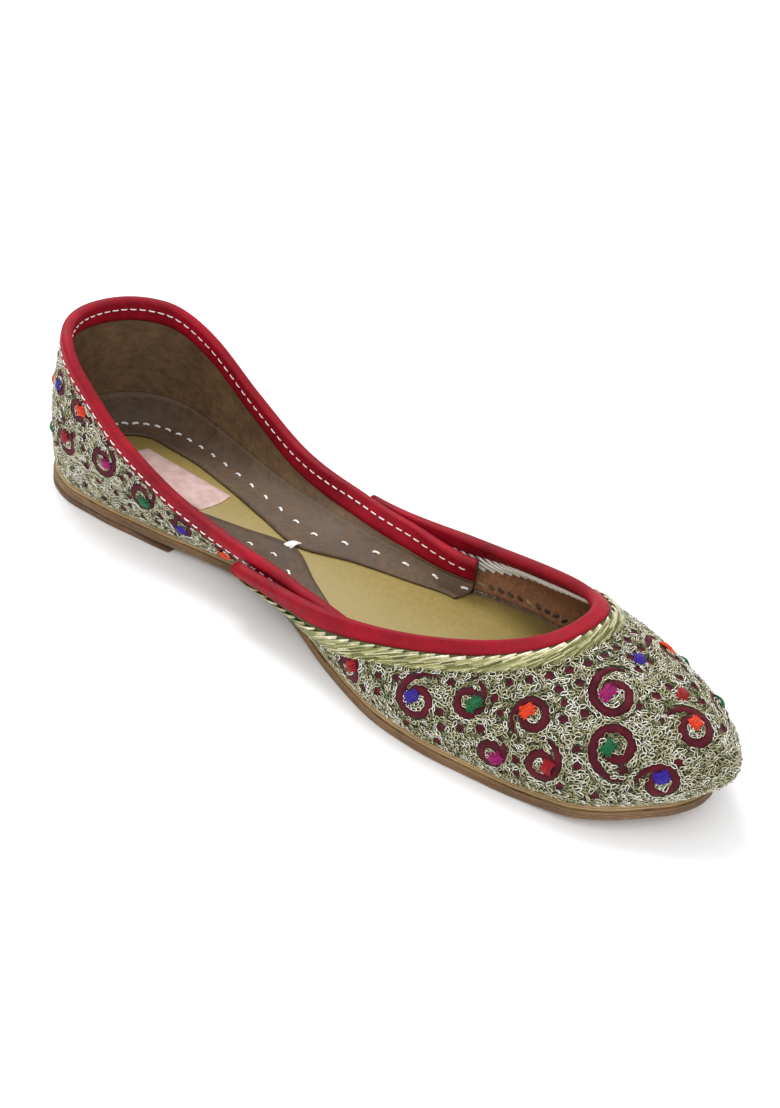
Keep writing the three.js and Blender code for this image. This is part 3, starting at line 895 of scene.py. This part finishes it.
def running_stitch(surface, off):
    """Paths spaced evenly along a line below the top, turned by the slant in radians."""
    line = at_length(surface, RUN_BELOW)
    around = evenly_round(surface, line, RUN_PITCH, -RUN_END, RUN_END)
    up = line(around)
    middles = off_surface(surface, around, up, off)
    normals = outward(surface, around, up)
    along = unit(slopes(surface, around, up)[0])
    ahead = along * np.cos(RUN_SLANT) + np.cross(normals, along) * np.sin(RUN_SLANT)
    facing = normals if off > 0 else -normals
    return arch(middles, ahead, facing, RUN_LENGTH, RUN_HEIGHT)


def thread_piece(name, rows, wide, high, material, sides=6):
    """Joins rows of paths into one mesh of tubes, each with its own random tone."""
    paths = np.concatenate([row[0] for row in rows])
    normals = np.concatenate([row[1] for row in rows])
    tone = np.repeat(rng.uniform(0.4, 1, len(paths)), paths.shape[1] * sides)
    solid = tubes(paths, normals, wide, high, sides)
    return new_piece(name, solid, material, fields={"tone": tone})


outside_run = running_stitch(quarter, BINDING_THICK)
inside_run = running_stitch(quarter, -WALL - BINDING_THICK)
thread_piece("collar_stitches", [outside_run, inside_run], 0.24, 0.18,
             cotton_thread)

HAND_STITCHES, HAND_LENGTH, HAND_HEIGHT = 47, 2.1, 0.3
hand = np.linspace(-0.99, 0.99, HAND_STITCHES)
hand_share = stitch_share(turn_to_at(np.abs(hand) * at_to_turn(QUARTER_END)))


def on_lining(onwards, inwards):
    """The hand stitches' places on the turned lining, moved by small steps either way."""
    return turned_lining(hand + onwards, hand_share + inwards, LINING_LIFT)


along = unit(on_lining(0.004, 0) - on_lining(-0.004, 0))
inwards = unit(on_lining(0, 0.01) - on_lining(0, -0.01))
facing = unit(np.cross(along, inwards))
facing = facing * np.sign(facing[:, 2:])
tilt = rng.uniform(-0.35, 0.35, (HAND_STITCHES, 1))
hand_row = arch(on_lining(0, 0), unit(along + inwards * tilt), facing, HAND_LENGTH, HAND_HEIGHT)

TACK_STITCHES, TACK_LENGTH, TACK_HEIGHT = 5, 4.6, 0.35
tack_x = WAIST + np.linspace(-1.0, 1.0, TACK_STITCHES)
tack_middle = xyz(tack_x, 0, foot_height(tack_x) + INSOLE_THICK + 0.9)
tack_ahead = np.array([0.25, 1.0, 0.0]) + rng.normal(0, 0.06, (TACK_STITCHES, 3))
upright = np.tile([0.0, 0.0, 1.0], (TACK_STITCHES, 1))
tack_row = arch(tack_middle, unit(tack_ahead), upright, TACK_LENGTH, TACK_HEIGHT)
thread_piece("lining_stitches", [hand_row, tack_row], 0.42, 0.26, cotton_thread)


# %% [markdown]
# Where the vamp meets the sock a waxed thread sews lining to sole, so a row of small dark
# stitches shows at the foot. Under the throat binding, inside, the braid's own stitches come
# through as a fan of white threads, wide at the back corners and thin towards the toe.

# %% Threads inside the vamp
THREADS_END = 0.97
FOOT_PITCH, FOOT_LENGTH, FOOT_STITCH_HEIGHT = 3.3, 1.9, 0.5


def foot_row():
    """Short stitches just above the sock, each with its own slant."""
    around = evenly_round(vamp, at_share(0.05), FOOT_PITCH, -THREADS_END, THREADS_END)
    up = 0.09 + 0 * around
    middles = off_surface(vamp, around, up, -WALL - 0.1)
    facing = -outward(vamp, around, up)
    along, rise = slopes(vamp, around, up)
    ahead = unit(unit(along) + unit(rise) * rng.uniform(-0.8, 0.8, (len(around), 1)))
    return arch(middles, ahead, facing, FOOT_LENGTH, FOOT_STITCH_HEIGHT)


thread_piece("foot_stitches", [foot_row()], 0.5, 0.4, dark_thread)

FAN_TABLE = {"around": (0, 0.2, 0.5, 0.8, 1), "width": (1.2, 3.0, 5.4, 7.0, 7.2)}
fan_width = curve_through(FAN_TABLE, "around", "width")
FAN_PITCH, FAN_FORWARD = 2.6, 11 / 290


def fan_threads(points=7):
    """Threads that start under the binding and run slanting down and forwards over the lining."""
    start = evenly_round(vamp, at_share(0.95), FAN_PITCH, -THREADS_END, THREADS_END)
    share = np.linspace(0, 1, points)
    forward = -np.sign(start)[:, None] * share * FAN_FORWARD
    around = np.clip(start[:, None] + forward, -0.995, 0.995)
    width = fan_width(np.abs(start))[:, None]
    below = THROAT_BINDING["inside"] - 0.6 + share * width
    up = share_below_top(vamp, around, below)
    height = 0.25 + 0.5 * np.sin(np.pi * np.clip(share * 1.15, 0, 1))
    paths = off_surface(vamp, around, up, -WALL - height)
    return paths, -outward(vamp, around, up)


thread_piece("fan_stitches", [fan_threads()], 0.7, 0.34, cotton_thread, 5)


# %% [markdown]
# ## The plaited braid
# The trim under the throat binding is plaited from bundles of metal thread. Each bundle comes
# up from the lower edge, runs along the trim past about three of its neighbours, and ends as a
# pale tooth at the upper edge. A bump pattern on a flat band would look flat from the side, so
# every strand is a tube. A thin dark band under them is painted shade: it darkens the spaces
# between the strands and keeps the cloth from showing there.

# %% Braid
BRAID_TOP = THROAT_BINDING["outside"] + 0.2
BRAID_FOOT = THROAT_BINDING["outside"] + FIT + BRAID_WIDTH
BUNDLE_PITCH, BUNDLE_RUN, BUNDLE_STRANDS = 4.6, 17.0, 7
STRAND_STEP_BACK, STRAND_STEP_DOWN, STRAND_SHORTER = 0.25, 0.53, 1.1


def band(surface, top, foot, near, far, count):
    """A thin closed band along the top line between two lengths below it."""
    around = np.linspace(-1, 1, count)[:, None]
    ups = share_below_top(surface, around, np.linspace(foot, top, 6)[None])
    front = off_surface(surface, around, ups, far)
    back = off_surface(surface, around, ups, near)
    return ring_solid(np.concatenate([front, back[:, ::-1]], 1))


# A dark sheet of painted shade under the strands, in the braid's darkest tone.
shade_band_solid = band(vamp, BRAID_TOP - 0.4, BRAID_FOOT - 0.2, 0.05, 0.5, 161)
new_piece("braid_shade_band", shade_band_solid, metallic_braid, ["throat_braid"],
          {"tone": np.full(len(shade_band_solid[0]), 0.05)})


def braid_strands(points=9):
    """Paths from lower edge to upper edge, with the bundles' tips stepped like saw teeth."""
    dense = np.linspace(-1, 1, DENSE_COUNT)
    line = vamp(dense, share_below_top(vamp, dense, (BRAID_TOP + BRAID_FOOT) / 2))
    walked = np.concatenate([[0], np.cumsum(np.linalg.norm(np.diff(line, axis=0), axis=1))])
    bundles = int((walked[-1] + BUNDLE_RUN) / BUNDLE_PITCH)
    tip = (np.arange(bundles) + 0.9) * BUNDLE_PITCH
    number = np.arange(BUNDLE_STRANDS)
    share = np.linspace(0, 1, points)
    tip, number, share = tip[:, None, None], number[None, :, None], share[None, None]
    loose = rng.normal(0, 0.25, (bundles, BUNDLE_STRANDS, 1))
    run = BUNDLE_RUN - STRAND_SHORTER * number
    place = tip + loose - STRAND_STEP_BACK * number - run * (1 - share)
    top = BRAID_TOP + 0.15 + STRAND_STEP_DOWN * number
    below = mix(BRAID_FOOT + 0.2, top, share ** 0.8)
    inside = (place > 0.3) & (place < walked[-1] - 0.3)
    around = np.interp(place, walked, dense)
    dip = 0.5 * np.clip(share - 0.9, 0, 1) * 6
    off = 0.55 + 0.55 * share + 0.35 * np.sin(np.pi * share ** 1.4) - dip
    up = share_below_top(vamp, around, below)
    paths = off_surface(vamp, around, up, off - 0.06 * number)
    normals = outward(vamp, around, up)
    keep = inside.mean(-1) > 0.45
    pale_tip = 0.5 * smooth_step(share, 0.75, 0.95) * (number < 2)
    tone = np.clip(rng.uniform(0.05, 0.8, keep.shape)[..., None] + pale_tip, 0, 1)
    return paths[keep], normals[keep], tone[keep]


paths, normals, tone = braid_strands()
solid = tubes(paths, normals, 0.34, 0.27, 4)
fields = {"tone": np.repeat(tone.ravel(), 4)}
new_piece("braid", solid, metallic_braid, fields=fields)


# %% [markdown]
# ## The embroidery's chart
# The maker leaves bands of bare maroon cloth in the shape of spirals and dots, and fills all
# the rest with chain stitch. A chart says where each motif's middle is, how big it is, how it
# turns and the colour of its silk knot. Motifs drawn straight in around and up would shrink
# towards the toe. So a motif is drawn flat, in millimetres, and pulled onto the surface by a
# few Newton steps, and keeps its size wherever the leather bends.

# %% Chart of the motifs
SILKS = {"magenta": "a00b68", "green": "06683a", "orange": "ea3f0c", "violet": "351b98",
         "red": "a00a18"}
VAMP_MOTIFS = {
    "around": (0.87, 0.75, 0.62, 0.51, 0.50, 0.37, 0.40, 0.15, 0.235, 0.175, 0.045, 0.12, 0.29),
    "up":     (0.36, 0.36, 0.40, 0.55, 0.20, 0.56, 0.26, 0.70, 0.42, 0.21, 0.55, 0.43, 0.44),
    "size":   (5.2, 5.8, 7.8, 5.6, 4.6, 6.4, 6.2, 8.2, 8.4, 6.2, 7.4, 6.6, 7.4),
    "start":  (200, 150, 60, 100, 80, 250, 100, 60, 290, 200, 170, 30, 290),
    "hand":   (-1, -1, 1, -1, -1, -1, -1, 1, -1, -1, -1, 1, -1),
    "near":   ("green", "red", "violet", "green", "magenta", "orange", "red", "magenta", "green",
               "violet", "orange", None, None),
    "far":    ("orange", "magenta", "green", "red", "violet", "magenta", "green", "orange", None,
               "red", None, "green", "green"),
}
QUARTER_MOTIFS = {
    "around": (0.75, 0.66, 0.575, 0.48, 0.40, 0.36, 0.31, 0.26, 0.19, 0.10, 0),
    "up":     (0.52, 0.56, 0.56, 0.56, 0.74, 0.36, 0.74, 0.32, 0.60, 0.30, 0.68),
    "size":   (4.2, 4.8, 5.6, 7.4, 4.6, 5.8, 5.4, 6.4, 6.4, 6.0, 6.2),
    "start":  (200, 30, 110, 60, 240, 300, 20, 200, 90, 150, 60),
    "hand":   (1, -1, 1, 1, -1, 1, -1, 1, 1, -1, 1),
    "near":   ("orange", "violet", "green", "magenta", "orange", "red", "violet", "green", "orange",
               "magenta", "red"),
    "far":    ("red", "green", "violet", "orange", "magenta", "green", "red", "orange", "violet",
               "green", "red"),
}
LOOSE_KNOTS = {"around": (0, 0), "up": (0.84, 0.69), "silk": ("violet", "red")}
SPIRAL_TURNS, BAND_HALF, INNER_RADIUS = 1.3, 1.2, 2.3
TAIL_SHARE, TAIL_FLARE = 0.22, 2.2
CHART_EDGE, NEWTON_STEPS = 0.999, 4


def chart_to_surface(surface, around, up, a, b):
    """The around and up of points a mm onwards and b mm upwards of a place, by Newton steps."""
    start = np.array([around]), np.array([up])
    along, rise = (vectors[0] for vectors in slopes(surface, *start))
    across = unit(along)
    upward = unit(rise - across * (rise @ across))
    target = surface(*start)[0] + a[..., None] * across + b[..., None] * upward
    around = around + a / np.linalg.norm(along)
    up = up + b / np.linalg.norm(rise)
    for _ in range(NEWTON_STEPS):
        around, up = np.clip(around, -CHART_EDGE, CHART_EDGE), np.clip(up, 0.0, 1.0)
        along, rise = slopes(surface, around, up)
        miss = target - surface(around, up)
        aa, ab, bb = ((p * q).sum(-1) for p, q in ((along, along), (along, rise), (rise, rise)))
        ma, mb = (miss * along).sum(-1), (miss * rise).sum(-1)
        det = np.maximum(aa * bb - ab * ab, 1e-6)
        around, up = around + (ma * bb - mb * ab) / det, up + (mb * aa - ma * ab) / det
    return np.clip(around, -CHART_EDGE, CHART_EDGE), np.clip(up, 0.0, 1.0)


def flat_spiral(size, start, hand, count=64):
    """The radius shrinks inwards as the angle turns, and the outer tail flares out."""
    share = np.linspace(0, 1, count)
    angle = np.radians(start) + hand * 2 * np.pi * SPIRAL_TURNS * share
    tail = TAIL_FLARE * np.clip(1 - share / TAIL_SHARE, 0, 1) ** 1.5
    radius = mix(size - BAND_HALF, INNER_RADIUS, share ** 0.85) + tail
    return radius * np.cos(angle), radius * np.sin(angle), share


def motif_rows(chart):
    """One row for each motif and side that has one: around, up, size, start, hand and silk."""
    rows = []
    for place, up, size, start, hand, near, far in zip(*chart.values()):
        if near:
            rows.append((-place, up, size, start, hand, near))
        if far and place > 0:
            rows.append((place, up, size, 180 - start, -hand, far))
    return rows


# %% [markdown]
# ## Bare bands and dots
# The bare cloth could be painted on the wall as a field, but the wall's coarse mesh would give
# ragged edges. Thin ribbons and discs, laid a tenth of a millimetre above the thread bed, give
# each band a clean edge.

# %% Bare maroon bands and dots
SPIRAL_ROOM, DOTS_APART, LOWEST_DOT = 2.6, 4.0, 0.06
COLUMN_UPS = np.linspace(0.1, 0.72, 5)
DOT_RADII = 0.8, 1.2
SQUARE_CORNER = 1.41   # a four-sided ring's corners stand this much further out than its flats
NOT_COMPARED = 99      # keeps a dot from being compared with itself and those after it


def spiral_bands(surface, rows):
    """Around and up of every spiral's centre line, and its half width, one row each."""
    around, up, half = [], [], []
    for place, height, size, start, hand, _ in rows:
        a, b, share = flat_spiral(size, start, hand)
        u, w = chart_to_surface(surface, place, height, a, b)
        around.append(u)
        up.append(w)
        full = BAND_HALF * (0.8 + 0.2 * smooth_step(size, 5, 8))
        half.append(full * np.clip(0.12 + share * 5, 0, 1) * np.clip(0.5 + (1 - share) * 12, 0, 1))
    return np.array(around), np.array(up), np.array(half)


def dot_places(surface, lines, columns, spiral_points):
    """Dots along lines of constant length below the top, and in columns, clear of the spirals."""
    around, up = [], []
    for below, pitch, limit, kept in lines:
        line = at_length(surface, below)
        place = evenly_round(surface, line, pitch, -limit, limit, rng.uniform(0.2, 0.8))
        place = place[rng.random(len(place)) < kept]
        around.append(place)
        up.append(line(place))
    for column in columns:
        around.append(np.repeat([-column, column], len(COLUMN_UPS)))
        up.append(np.tile(COLUMN_UPS, 2))
    around, up = np.concatenate(around), np.concatenate(up)
    points = surface(around, up)
    clear = np.linalg.norm(points[:, None] - spiral_points[None], axis=-1).min(1) > SPIRAL_ROOM
    clear &= up > LOWEST_DOT
    apart = np.linalg.norm(points[:, None] - points[None], axis=-1)
    apart += NOT_COMPARED * np.tri(len(points)).T
    clear &= apart.min(1) > DOTS_APART
    return around[clear], up[clear]


def bare_piece(name, surface, bands, dots):
    """Four-sided ribbons for the spirals and nine-sided discs for the dots, in one mesh."""
    around, up, half = bands
    ribbon = tubes(off_surface(surface, around, up, 0.08), outward(surface, around, up),
                   half * SQUARE_CORNER, 0.16)
    dot_around, dot_up = dots
    radius = rng.uniform(*DOT_RADII, (len(dot_around), 1))
    centre = off_surface(surface, dot_around, dot_up, 0.0)[:, None]
    normal = outward(surface, dot_around, dot_up)[:, None]
    heights = np.array([-0.1, 0.16])[:, None]
    side = unit(slopes(surface, dot_around, dot_up)[0])[:, None]
    discs = tubes(centre + normal * heights, np.repeat(side, 2, 1), radius, radius, 9)
    first = len(ribbon[0])
    points = np.concatenate([ribbon[0], discs[0]])
    faces = ribbon[1] + [corners + first for corners in discs[1]]
    return new_piece(name, (points, faces), maroon_cloth)


VAMP_DOT_LINES = ((12.6, 5.3, 0.985, 1), (16.9, 5.6, 0.97, 0.85), (21.1, 5.6, 0.97, 0.75),
                  (25.4, 5.6, 0.9, 0.75), (29.6, 5.6, 0.9, 0.7), (33.8, 5.6, 0.9, 0.7),
                  (38.0, 5.6, 0.9, 0.65), (42.4, 5.6, 0.9, 0.65), (46.8, 5.6, 0.9, 0.65))
VAMP_DOT_COLUMNS = (0.95, 0.81, 0.69, 0.565, 0.445, 0.31)
QUARTER_DOT_LINES = ((6.8, 5.4, 0.80, 1), (11.2, 5.8, 0.75, 0.75), (15.6, 5.8, 0.7, 0.7),
                     (20.0, 5.8, 0.65, 0.7), (24.6, 5.8, 0.6, 0.7), (29.2, 5.8, 0.55, 0.65),
                     (34.0, 5.8, 0.5, 0.65))
QUARTER_DOT_COLUMNS = (0.53, 0.42, 0.31, 0.2, 0.05)

vamp_rows, quarter_rows = motif_rows(VAMP_MOTIFS), motif_rows(QUARTER_MOTIFS)
vamp_bands = spiral_bands(vamp, vamp_rows)
quarter_bands = spiral_bands(quarter, quarter_rows)
vamp_curves = vamp(*vamp_bands[:2]).reshape(-1, 3)
quarter_curves = quarter(*quarter_bands[:2]).reshape(-1, 3)
vamp_dots = dot_places(vamp, VAMP_DOT_LINES, VAMP_DOT_COLUMNS, vamp_curves)
quarter_dots = dot_places(quarter, QUARTER_DOT_LINES, QUARTER_DOT_COLUMNS, quarter_curves)
bare_piece("vamp_bare_cloth", vamp, vamp_bands, vamp_dots)
bare_piece("quarter_bare_cloth", quarter, quarter_bands, quarter_dots)
print(f"vamp: {len(vamp_rows)} spirals and {len(vamp_dots[0])} dots")
print(f"quarter: {len(quarter_rows)} spirals and {len(quarter_dots[0])} dots")


# %% [markdown]
# ## Chain stitch
# Each chain stitch is a small loop of metal thread. Hair or scattered objects could cover the
# cloth, but neither keeps clear of a drawn motif by itself. So the loops are laid as a worker
# lays them: chains that outline every spiral and ring every dot, then two rows along the foot,
# then rows that fill the rest. A loop is kept only where it is clear of the bare bands and of
# the loops already laid.

# %% Laying the chains
LOOP_PITCH, ROW_PITCH, CLEAR, APART = 1.25, 1.15, 0.36, 0.86
OUTLINE_OFFSETS = (1.75, -1.75, 3.1)
RING_RADIUS, RING_LOOPS, RING_ROOM = 1.8, 7, 1.1
FOOT_SHARES = (0.012, 0.035)
OUTLINE_LOOSE, FILLING_LOOSE = 0.3, 0.85


def spaced(a, b, pitch):
    """A flat curve sampled again at equal lengths."""
    walked = np.concatenate([[0], np.cumsum(np.hypot(np.diff(a), np.diff(b)))])
    count = max(int(walked[-1] / pitch), 2)
    where = (np.arange(count) + 0.5) * walked[-1] / count
    return np.interp(where, walked, a), np.interp(where, walked, b)


def outlining_chains(surface, rows, dots):
    """The chains on both sides of each spiral's band, and the rings round the dots."""
    for place, height, size, start, hand, _ in rows:
        a, b, _ = flat_spiral(size, start, hand, 160)
        step_a, step_b = np.gradient(a), np.gradient(b)
        length = np.hypot(step_a, step_b)
        for offset in OUTLINE_OFFSETS:
            out = offset * hand
            chain = spaced(a - out * step_b / length, b + out * step_a / length, LOOP_PITCH)
            yield chart_to_surface(surface, place, height, *chain)
    angle = np.linspace(0, 2 * np.pi, RING_LOOPS + 1)[:-1]
    ring_a, ring_b = RING_RADIUS * np.cos(angle), RING_RADIUS * np.sin(angle)
    for place, height in zip(*dots):
        yield chart_to_surface(surface, place, height, ring_a, ring_b)


def filling_rows(surface, first_below, limit, longest):
    """Rows parallel to the foot first, then rows at growing lengths below the top line."""
    for share in FOOT_SHARES:
        around = evenly_round(surface, at_share(share), LOOP_PITCH, -limit, limit)
        yield around, 0 * around + share
    for below in np.arange(first_below, longest, ROW_PITCH):
        line = at_length(surface, below)
        around = evenly_round(surface, line, LOOP_PITCH, -limit, limit, rng.uniform(0.1, 0.9))
        up = line(around)
        kept = up > 0.02
        if kept.sum() > 3:
            yield around[kept], up[kept]


def lay_chains(surface, rows, dots, bands, first_below, limit, longest):
    """Keeps the loops that are clear of bare cloth and apart from those before them."""
    curve_points = surface(*bands[:2]).reshape(-1, 3)
    bare_points = np.concatenate([curve_points, surface(*dots)])
    bare_half = np.concatenate([bands[2].ravel(), np.full(len(dots[0]), RING_ROOM)])
    laid = np.zeros((0, 3))
    parts = []
    chains = [(chain, OUTLINE_LOOSE) for chain in outlining_chains(surface, rows, dots)]
    chains += [(row, FILLING_LOOSE) for row in filling_rows(surface, first_below, limit, longest)]
    for (around, up), loose in chains:
        points = surface(around, up)
        ahead = unit(np.gradient(points, axis=0))
        highest = share_below_top(surface, around, first_below - 0.3)
        inside = (np.abs(around) < limit) & (up > 0.008) & (up < highest)
        to_bare = np.linalg.norm(points[:, None] - bare_points[None], axis=-1) - bare_half
        keep = inside & (to_bare.min(1) > CLEAR)
        if len(laid):
            keep &= np.linalg.norm(points[:, None] - laid[None], axis=-1).min(1) > APART
        laid = np.concatenate([laid, points[keep]])
        parts.append((around[keep], up[keep], ahead[keep], np.full(keep.sum(), loose)))
    return [np.concatenate(part) for part in zip(*parts)]


LOOP_SHAPE = np.array([
    (0.00, 0.00, 0.02), (0.45, 0.40, 0.20), (0.90, 0.34, 0.36),
    (1.00, -0.05, 0.42), (0.80, -0.42, 0.30), (0.35, -0.32, 0.14)])
LOOP_TREMOR, TONE_MIDDLE, TONE_CLOUD, TONE_SPREAD = 0.11, 0.5, 0.07, 0.36


def chain_piece(name, surface, around, up, ahead, loose, length=1.9, width=1.0, radius=0.17):
    """Loops of six points with a three-sided thread, each turned and sized a little at random."""
    count = len(around)
    normal = outward(surface, around, up)
    ahead = unit(ahead - normal * (ahead * normal).sum(-1, keepdims=True))
    turn = rng.normal(0, 1, count) * loose
    ahead = ahead * np.cos(turn)[:, None] + np.cross(normal, ahead) * np.sin(turn)[:, None]
    across = np.cross(normal, ahead)
    size = rng.uniform(0.8, 1.25, (count, 1))
    middle = off_surface(surface, around, up, 0.18 + rng.uniform(0, 0.12, count))
    a, b, h = LOOP_SHAPE.T
    paths = (middle[:, None] + ahead[:, None] * ((a - 0.5) * length * size)[..., None]
             + across[:, None] * (b * width * size)[..., None] + normal[:, None] * h[None, :, None])
    paths = paths + rng.normal(0, LOOP_TREMOR, paths.shape)
    x, y, z = middle.T
    cloudy = TONE_MIDDLE + TONE_CLOUD * np.sin(0.5 * x) * np.sin(0.6 * y + 0.4 * z)
    tone = np.clip(cloudy + rng.normal(0, TONE_SPREAD, count), 0, 1)
    normals = np.repeat(normal[:, None], len(a), 1)
    solid = tubes(paths, normals, radius, radius * 0.85, 3, closed=True)
    fields = {"tone": np.repeat(tone, len(a) * 3)}
    return new_piece(name, solid, zari_thread, fields=fields)


vamp_chains = lay_chains(vamp, vamp_rows, vamp_dots, vamp_bands, BRAID_FOOT + 0.7, 0.995, 62)
quarter_chains = lay_chains(quarter, quarter_rows, quarter_dots, quarter_bands,
                            COLLAR_BINDING["outside"] + 0.7, 0.84, 54)
print(f"{len(vamp_chains[0])} loops on the vamp and {len(quarter_chains[0])} on the quarter")
chain_piece("vamp_embroidery", vamp, *vamp_chains)
chain_piece("quarter_embroidery", quarter, *quarter_chains)


# %% [markdown]
# ## Silk knots
# At the inner end of each spiral sits a tuft of coloured silk: about twenty strands side by
# side, arched together and spread a little at both ends. A coloured bead would give the spot
# but not the threads, so each strand is a tube of its own.

# %% Silk knots
KNOT_INWARDS = 0.8
KNOT_STRANDS, STRAND_WIDE, STRAND_HIGH = 19, 0.19, 0.17
KNOT_LENGTHS, KNOT_HALF, KNOT_FAN, KNOT_RISE = (1.9, 2.5), 1.2, 0.55, 0.95


def silk_knots(surface, rows, extra):
    """The place and colour of every knot: one at each spiral's inner end, and the loose ones."""
    around, up, colours = [], [], []
    for place, height, size, start, hand, colour in rows:
        a, b, _ = flat_spiral(size, start, hand)
        u, w = chart_to_surface(surface, place, height, a[-1:] * KNOT_INWARDS,
                                b[-1:] * KNOT_INWARDS)
        around.append(u[0])
        up.append(w[0])
        colours.append(paint(SILKS[colour]))
    for place, height, colour in extra:
        around.append(place)
        up.append(height)
        colours.append(paint(SILKS[colour]))
    return np.array(around), np.array(up), np.array(colours)


def knot_strands(surface, around, up, colours, points=6):
    """Strand paths: side by side across the knot, arched along it, fanned at the ends."""
    count, strands = len(around), KNOT_STRANDS
    normal = outward(surface, around, up)
    along = unit(slopes(surface, around, up)[0])
    turn = rng.uniform(0.2, 1.3, (count, 1))
    ahead = along * np.cos(turn) + np.cross(normal, along) * np.sin(turn)
    across = np.cross(normal, ahead)
    share = np.linspace(-1, 1, points)[None, None]
    lane = np.linspace(-1, 1, strands)[None, :, None] + rng.normal(0, 0.08, (count, strands, 1))
    knot_length = rng.uniform(*KNOT_LENGTHS, (count, 1, 1)) * (1 - 0.25 * lane ** 2)
    along_mm = share * (knot_length * rng.uniform(0.85, 1.15, (count, strands, 1)))
    tremor = rng.normal(0, 0.08, (count, strands, points))
    across_mm = lane * (KNOT_HALF + KNOT_FAN * np.abs(share)) + tremor
    rise = (KNOT_RISE - 0.4 * lane ** 2) * (1 - share ** 2)
    height = 0.25 + rise + rng.uniform(0, 0.15, (count, strands, 1))
    middle = off_surface(surface, around, up, 0.1)
    paths = (middle[:, None, None] + ahead[:, None, None] * along_mm[..., None]
             + across[:, None, None] * across_mm[..., None]
             + normal[:, None, None] * height[..., None])
    normals = np.broadcast_to(normal[:, None, None], paths.shape)
    shade = rng.uniform(0.75, 1.2, (count, strands, 1)) * colours[:, None, :]
    return (part.reshape(count * strands, *part.shape[2:]) for part in (paths, normals, shade))


loose_knots = list(zip(*LOOSE_KNOTS.values()))
for name, surface, rows, extra in (("vamp_knots", vamp, vamp_rows, loose_knots),
                                   ("quarter_knots", quarter, quarter_rows, [])):
    paths, normals, shade = knot_strands(surface, *silk_knots(surface, rows, extra))
    solid = tubes(paths, normals, STRAND_WIDE, STRAND_HIGH, 4)
    colour = np.repeat(np.clip(shade, 0, 1), paths.shape[1] * 4, axis=0)
    new_piece(name, solid, silk_thread, fields={"silk": colour})


# %% [markdown]
# ## The heel patch
# A plain pale cloth patch lies on the sock at the heel, with nothing written on it. Its solid
# is a plain slab of the same size. A bevelled box could replace it, but glued cloth swells a
# little between its edges, so the patch is a crowned sheet with soft corners.

# %% Heel patch
CORNER_POWER, EDGE_POWER = 24, 14
PATCH_REST, PATCH_RIPPLE = 0.08, 0.05


def patch_solid(count=41):
    """Rings across the patch: flat below, slightly crowned above, corners rounded in plan."""
    share = np.linspace(-1, 1, count)
    half = PATCH_WIDTH / 2 * (1 - np.abs(share) ** CORNER_POWER) ** (1 / CORNER_POWER)
    x = PATCH_FROM_HEEL + PATCH_LENGTH / 2 * (1 + share)
    base = foot_height(0) + INSOLE_THICK + PATCH_REST
    lane = np.linspace(-1, 1, 15)[None]
    edge = np.maximum(np.abs(lane), np.abs(share)[:, None]) ** EDGE_POWER
    ripple = PATCH_RIPPLE * np.sin(9 * lane) * np.sin(21 * share)[:, None]
    top = base + PATCH_THICK * (1 - 0.7 * edge) + ripple
    y = half[:, None] * lane
    upper = xyz(x[:, None], y, top)
    lower = xyz(x[:, None], y, base + 0 * top)
    return ring_solid(np.concatenate([upper, lower[:, ::-1]], 1))


new_piece("patch", patch_solid(), patch_cloth, ["heel_patch"])


# %% [markdown]
# ## Floor, light and camera
# The shoe stands on a plain pale floor under soft light. Sun light would give hard shadows, so
# a square lamp hangs high behind the heel, a weaker one stands in front, and the surround is
# bright and even.
# The camera stands in front of the toe on the near side, looks down and back over the shoe,
# and is rolled a few degrees.

# %% Floor
FLOOR_HALF = 60
recipe = Recipe("floor_paint", 0.9)
floor_tone = recipe.ramp(recipe.noise(3.0), (0.3, paint("f9f9fa")), (0.7, paint("fbfbfc")))
floor_material = recipe.finish(floor_tone)
floor_mesh = bpy.data.meshes.new("floor")
signs = (-1, -1), (1, -1), (1, 1), (-1, 1)
corners = [(FLOOR_HALF * x, FLOOR_HALF * y, 0) for x, y in signs]
floor_mesh.from_pydata(corners, [], [(0, 1, 2, 3)])
floor_mesh.materials.append(floor_material)
floor = bpy.data.objects.new("floor", floor_mesh)
bpy.context.scene.collection.objects.link(floor)


# %% Lights
def lamp(name, place, target, power, size):
    """A square area lamp at a place, looking at a target."""
    light = bpy.data.lights.new(name, "AREA")
    light.energy, light.size = power, size
    holder = bpy.data.objects.new(name, light)
    holder.location = place
    holder.rotation_euler = (Vector(target) - Vector(place)).to_track_quat("-Z", "Y").to_euler()
    bpy.context.scene.collection.objects.link(holder)


lamp("key_light", (-0.55, 0.25, 0.95), (0, 0, 0.02), 7.0, 0.5)
lamp("front_light", (0.5, -0.9, 0.7), (0, 0, 0.02), 3.6, 0.8)
world = bpy.data.worlds.new("surround")
world.use_nodes = True
world.node_tree.nodes["Background"].inputs["Color"].default_value = (1, 1, 1, 1)
world.node_tree.nodes["Background"].inputs["Strength"].default_value = 1.0
bpy.context.scene.world = world
bpy.context.scene.view_settings.view_transform = "Standard"

# %% Camera
CAMERA_PLACE = Vector((0.22518, -0.30405, 0.25969))
CAMERA_TARGET = Vector((0.00032, 0.01210, 0.01536))
CAMERA_ROLL = np.radians(8.66)
LENS_LENGTH = 48.74
lens = bpy.data.cameras.new("camera")
lens.lens = LENS_LENGTH
lens.clip_start = 0.02
camera = bpy.data.objects.new("camera", lens)
forward = (CAMERA_TARGET - CAMERA_PLACE).normalized()
level = forward.cross(Vector((0, 0, 1))).normalized()
above = level.cross(forward)
right = level * np.cos(CAMERA_ROLL) + above * np.sin(CAMERA_ROLL)
top = right.cross(forward)
turned = Matrix((right, top, -forward)).transposed().to_4x4()
camera.matrix_world = Matrix.Translation(CAMERA_PLACE) @ turned
bpy.context.scene.collection.objects.link(camera)
bpy.context.scene.camera = camera
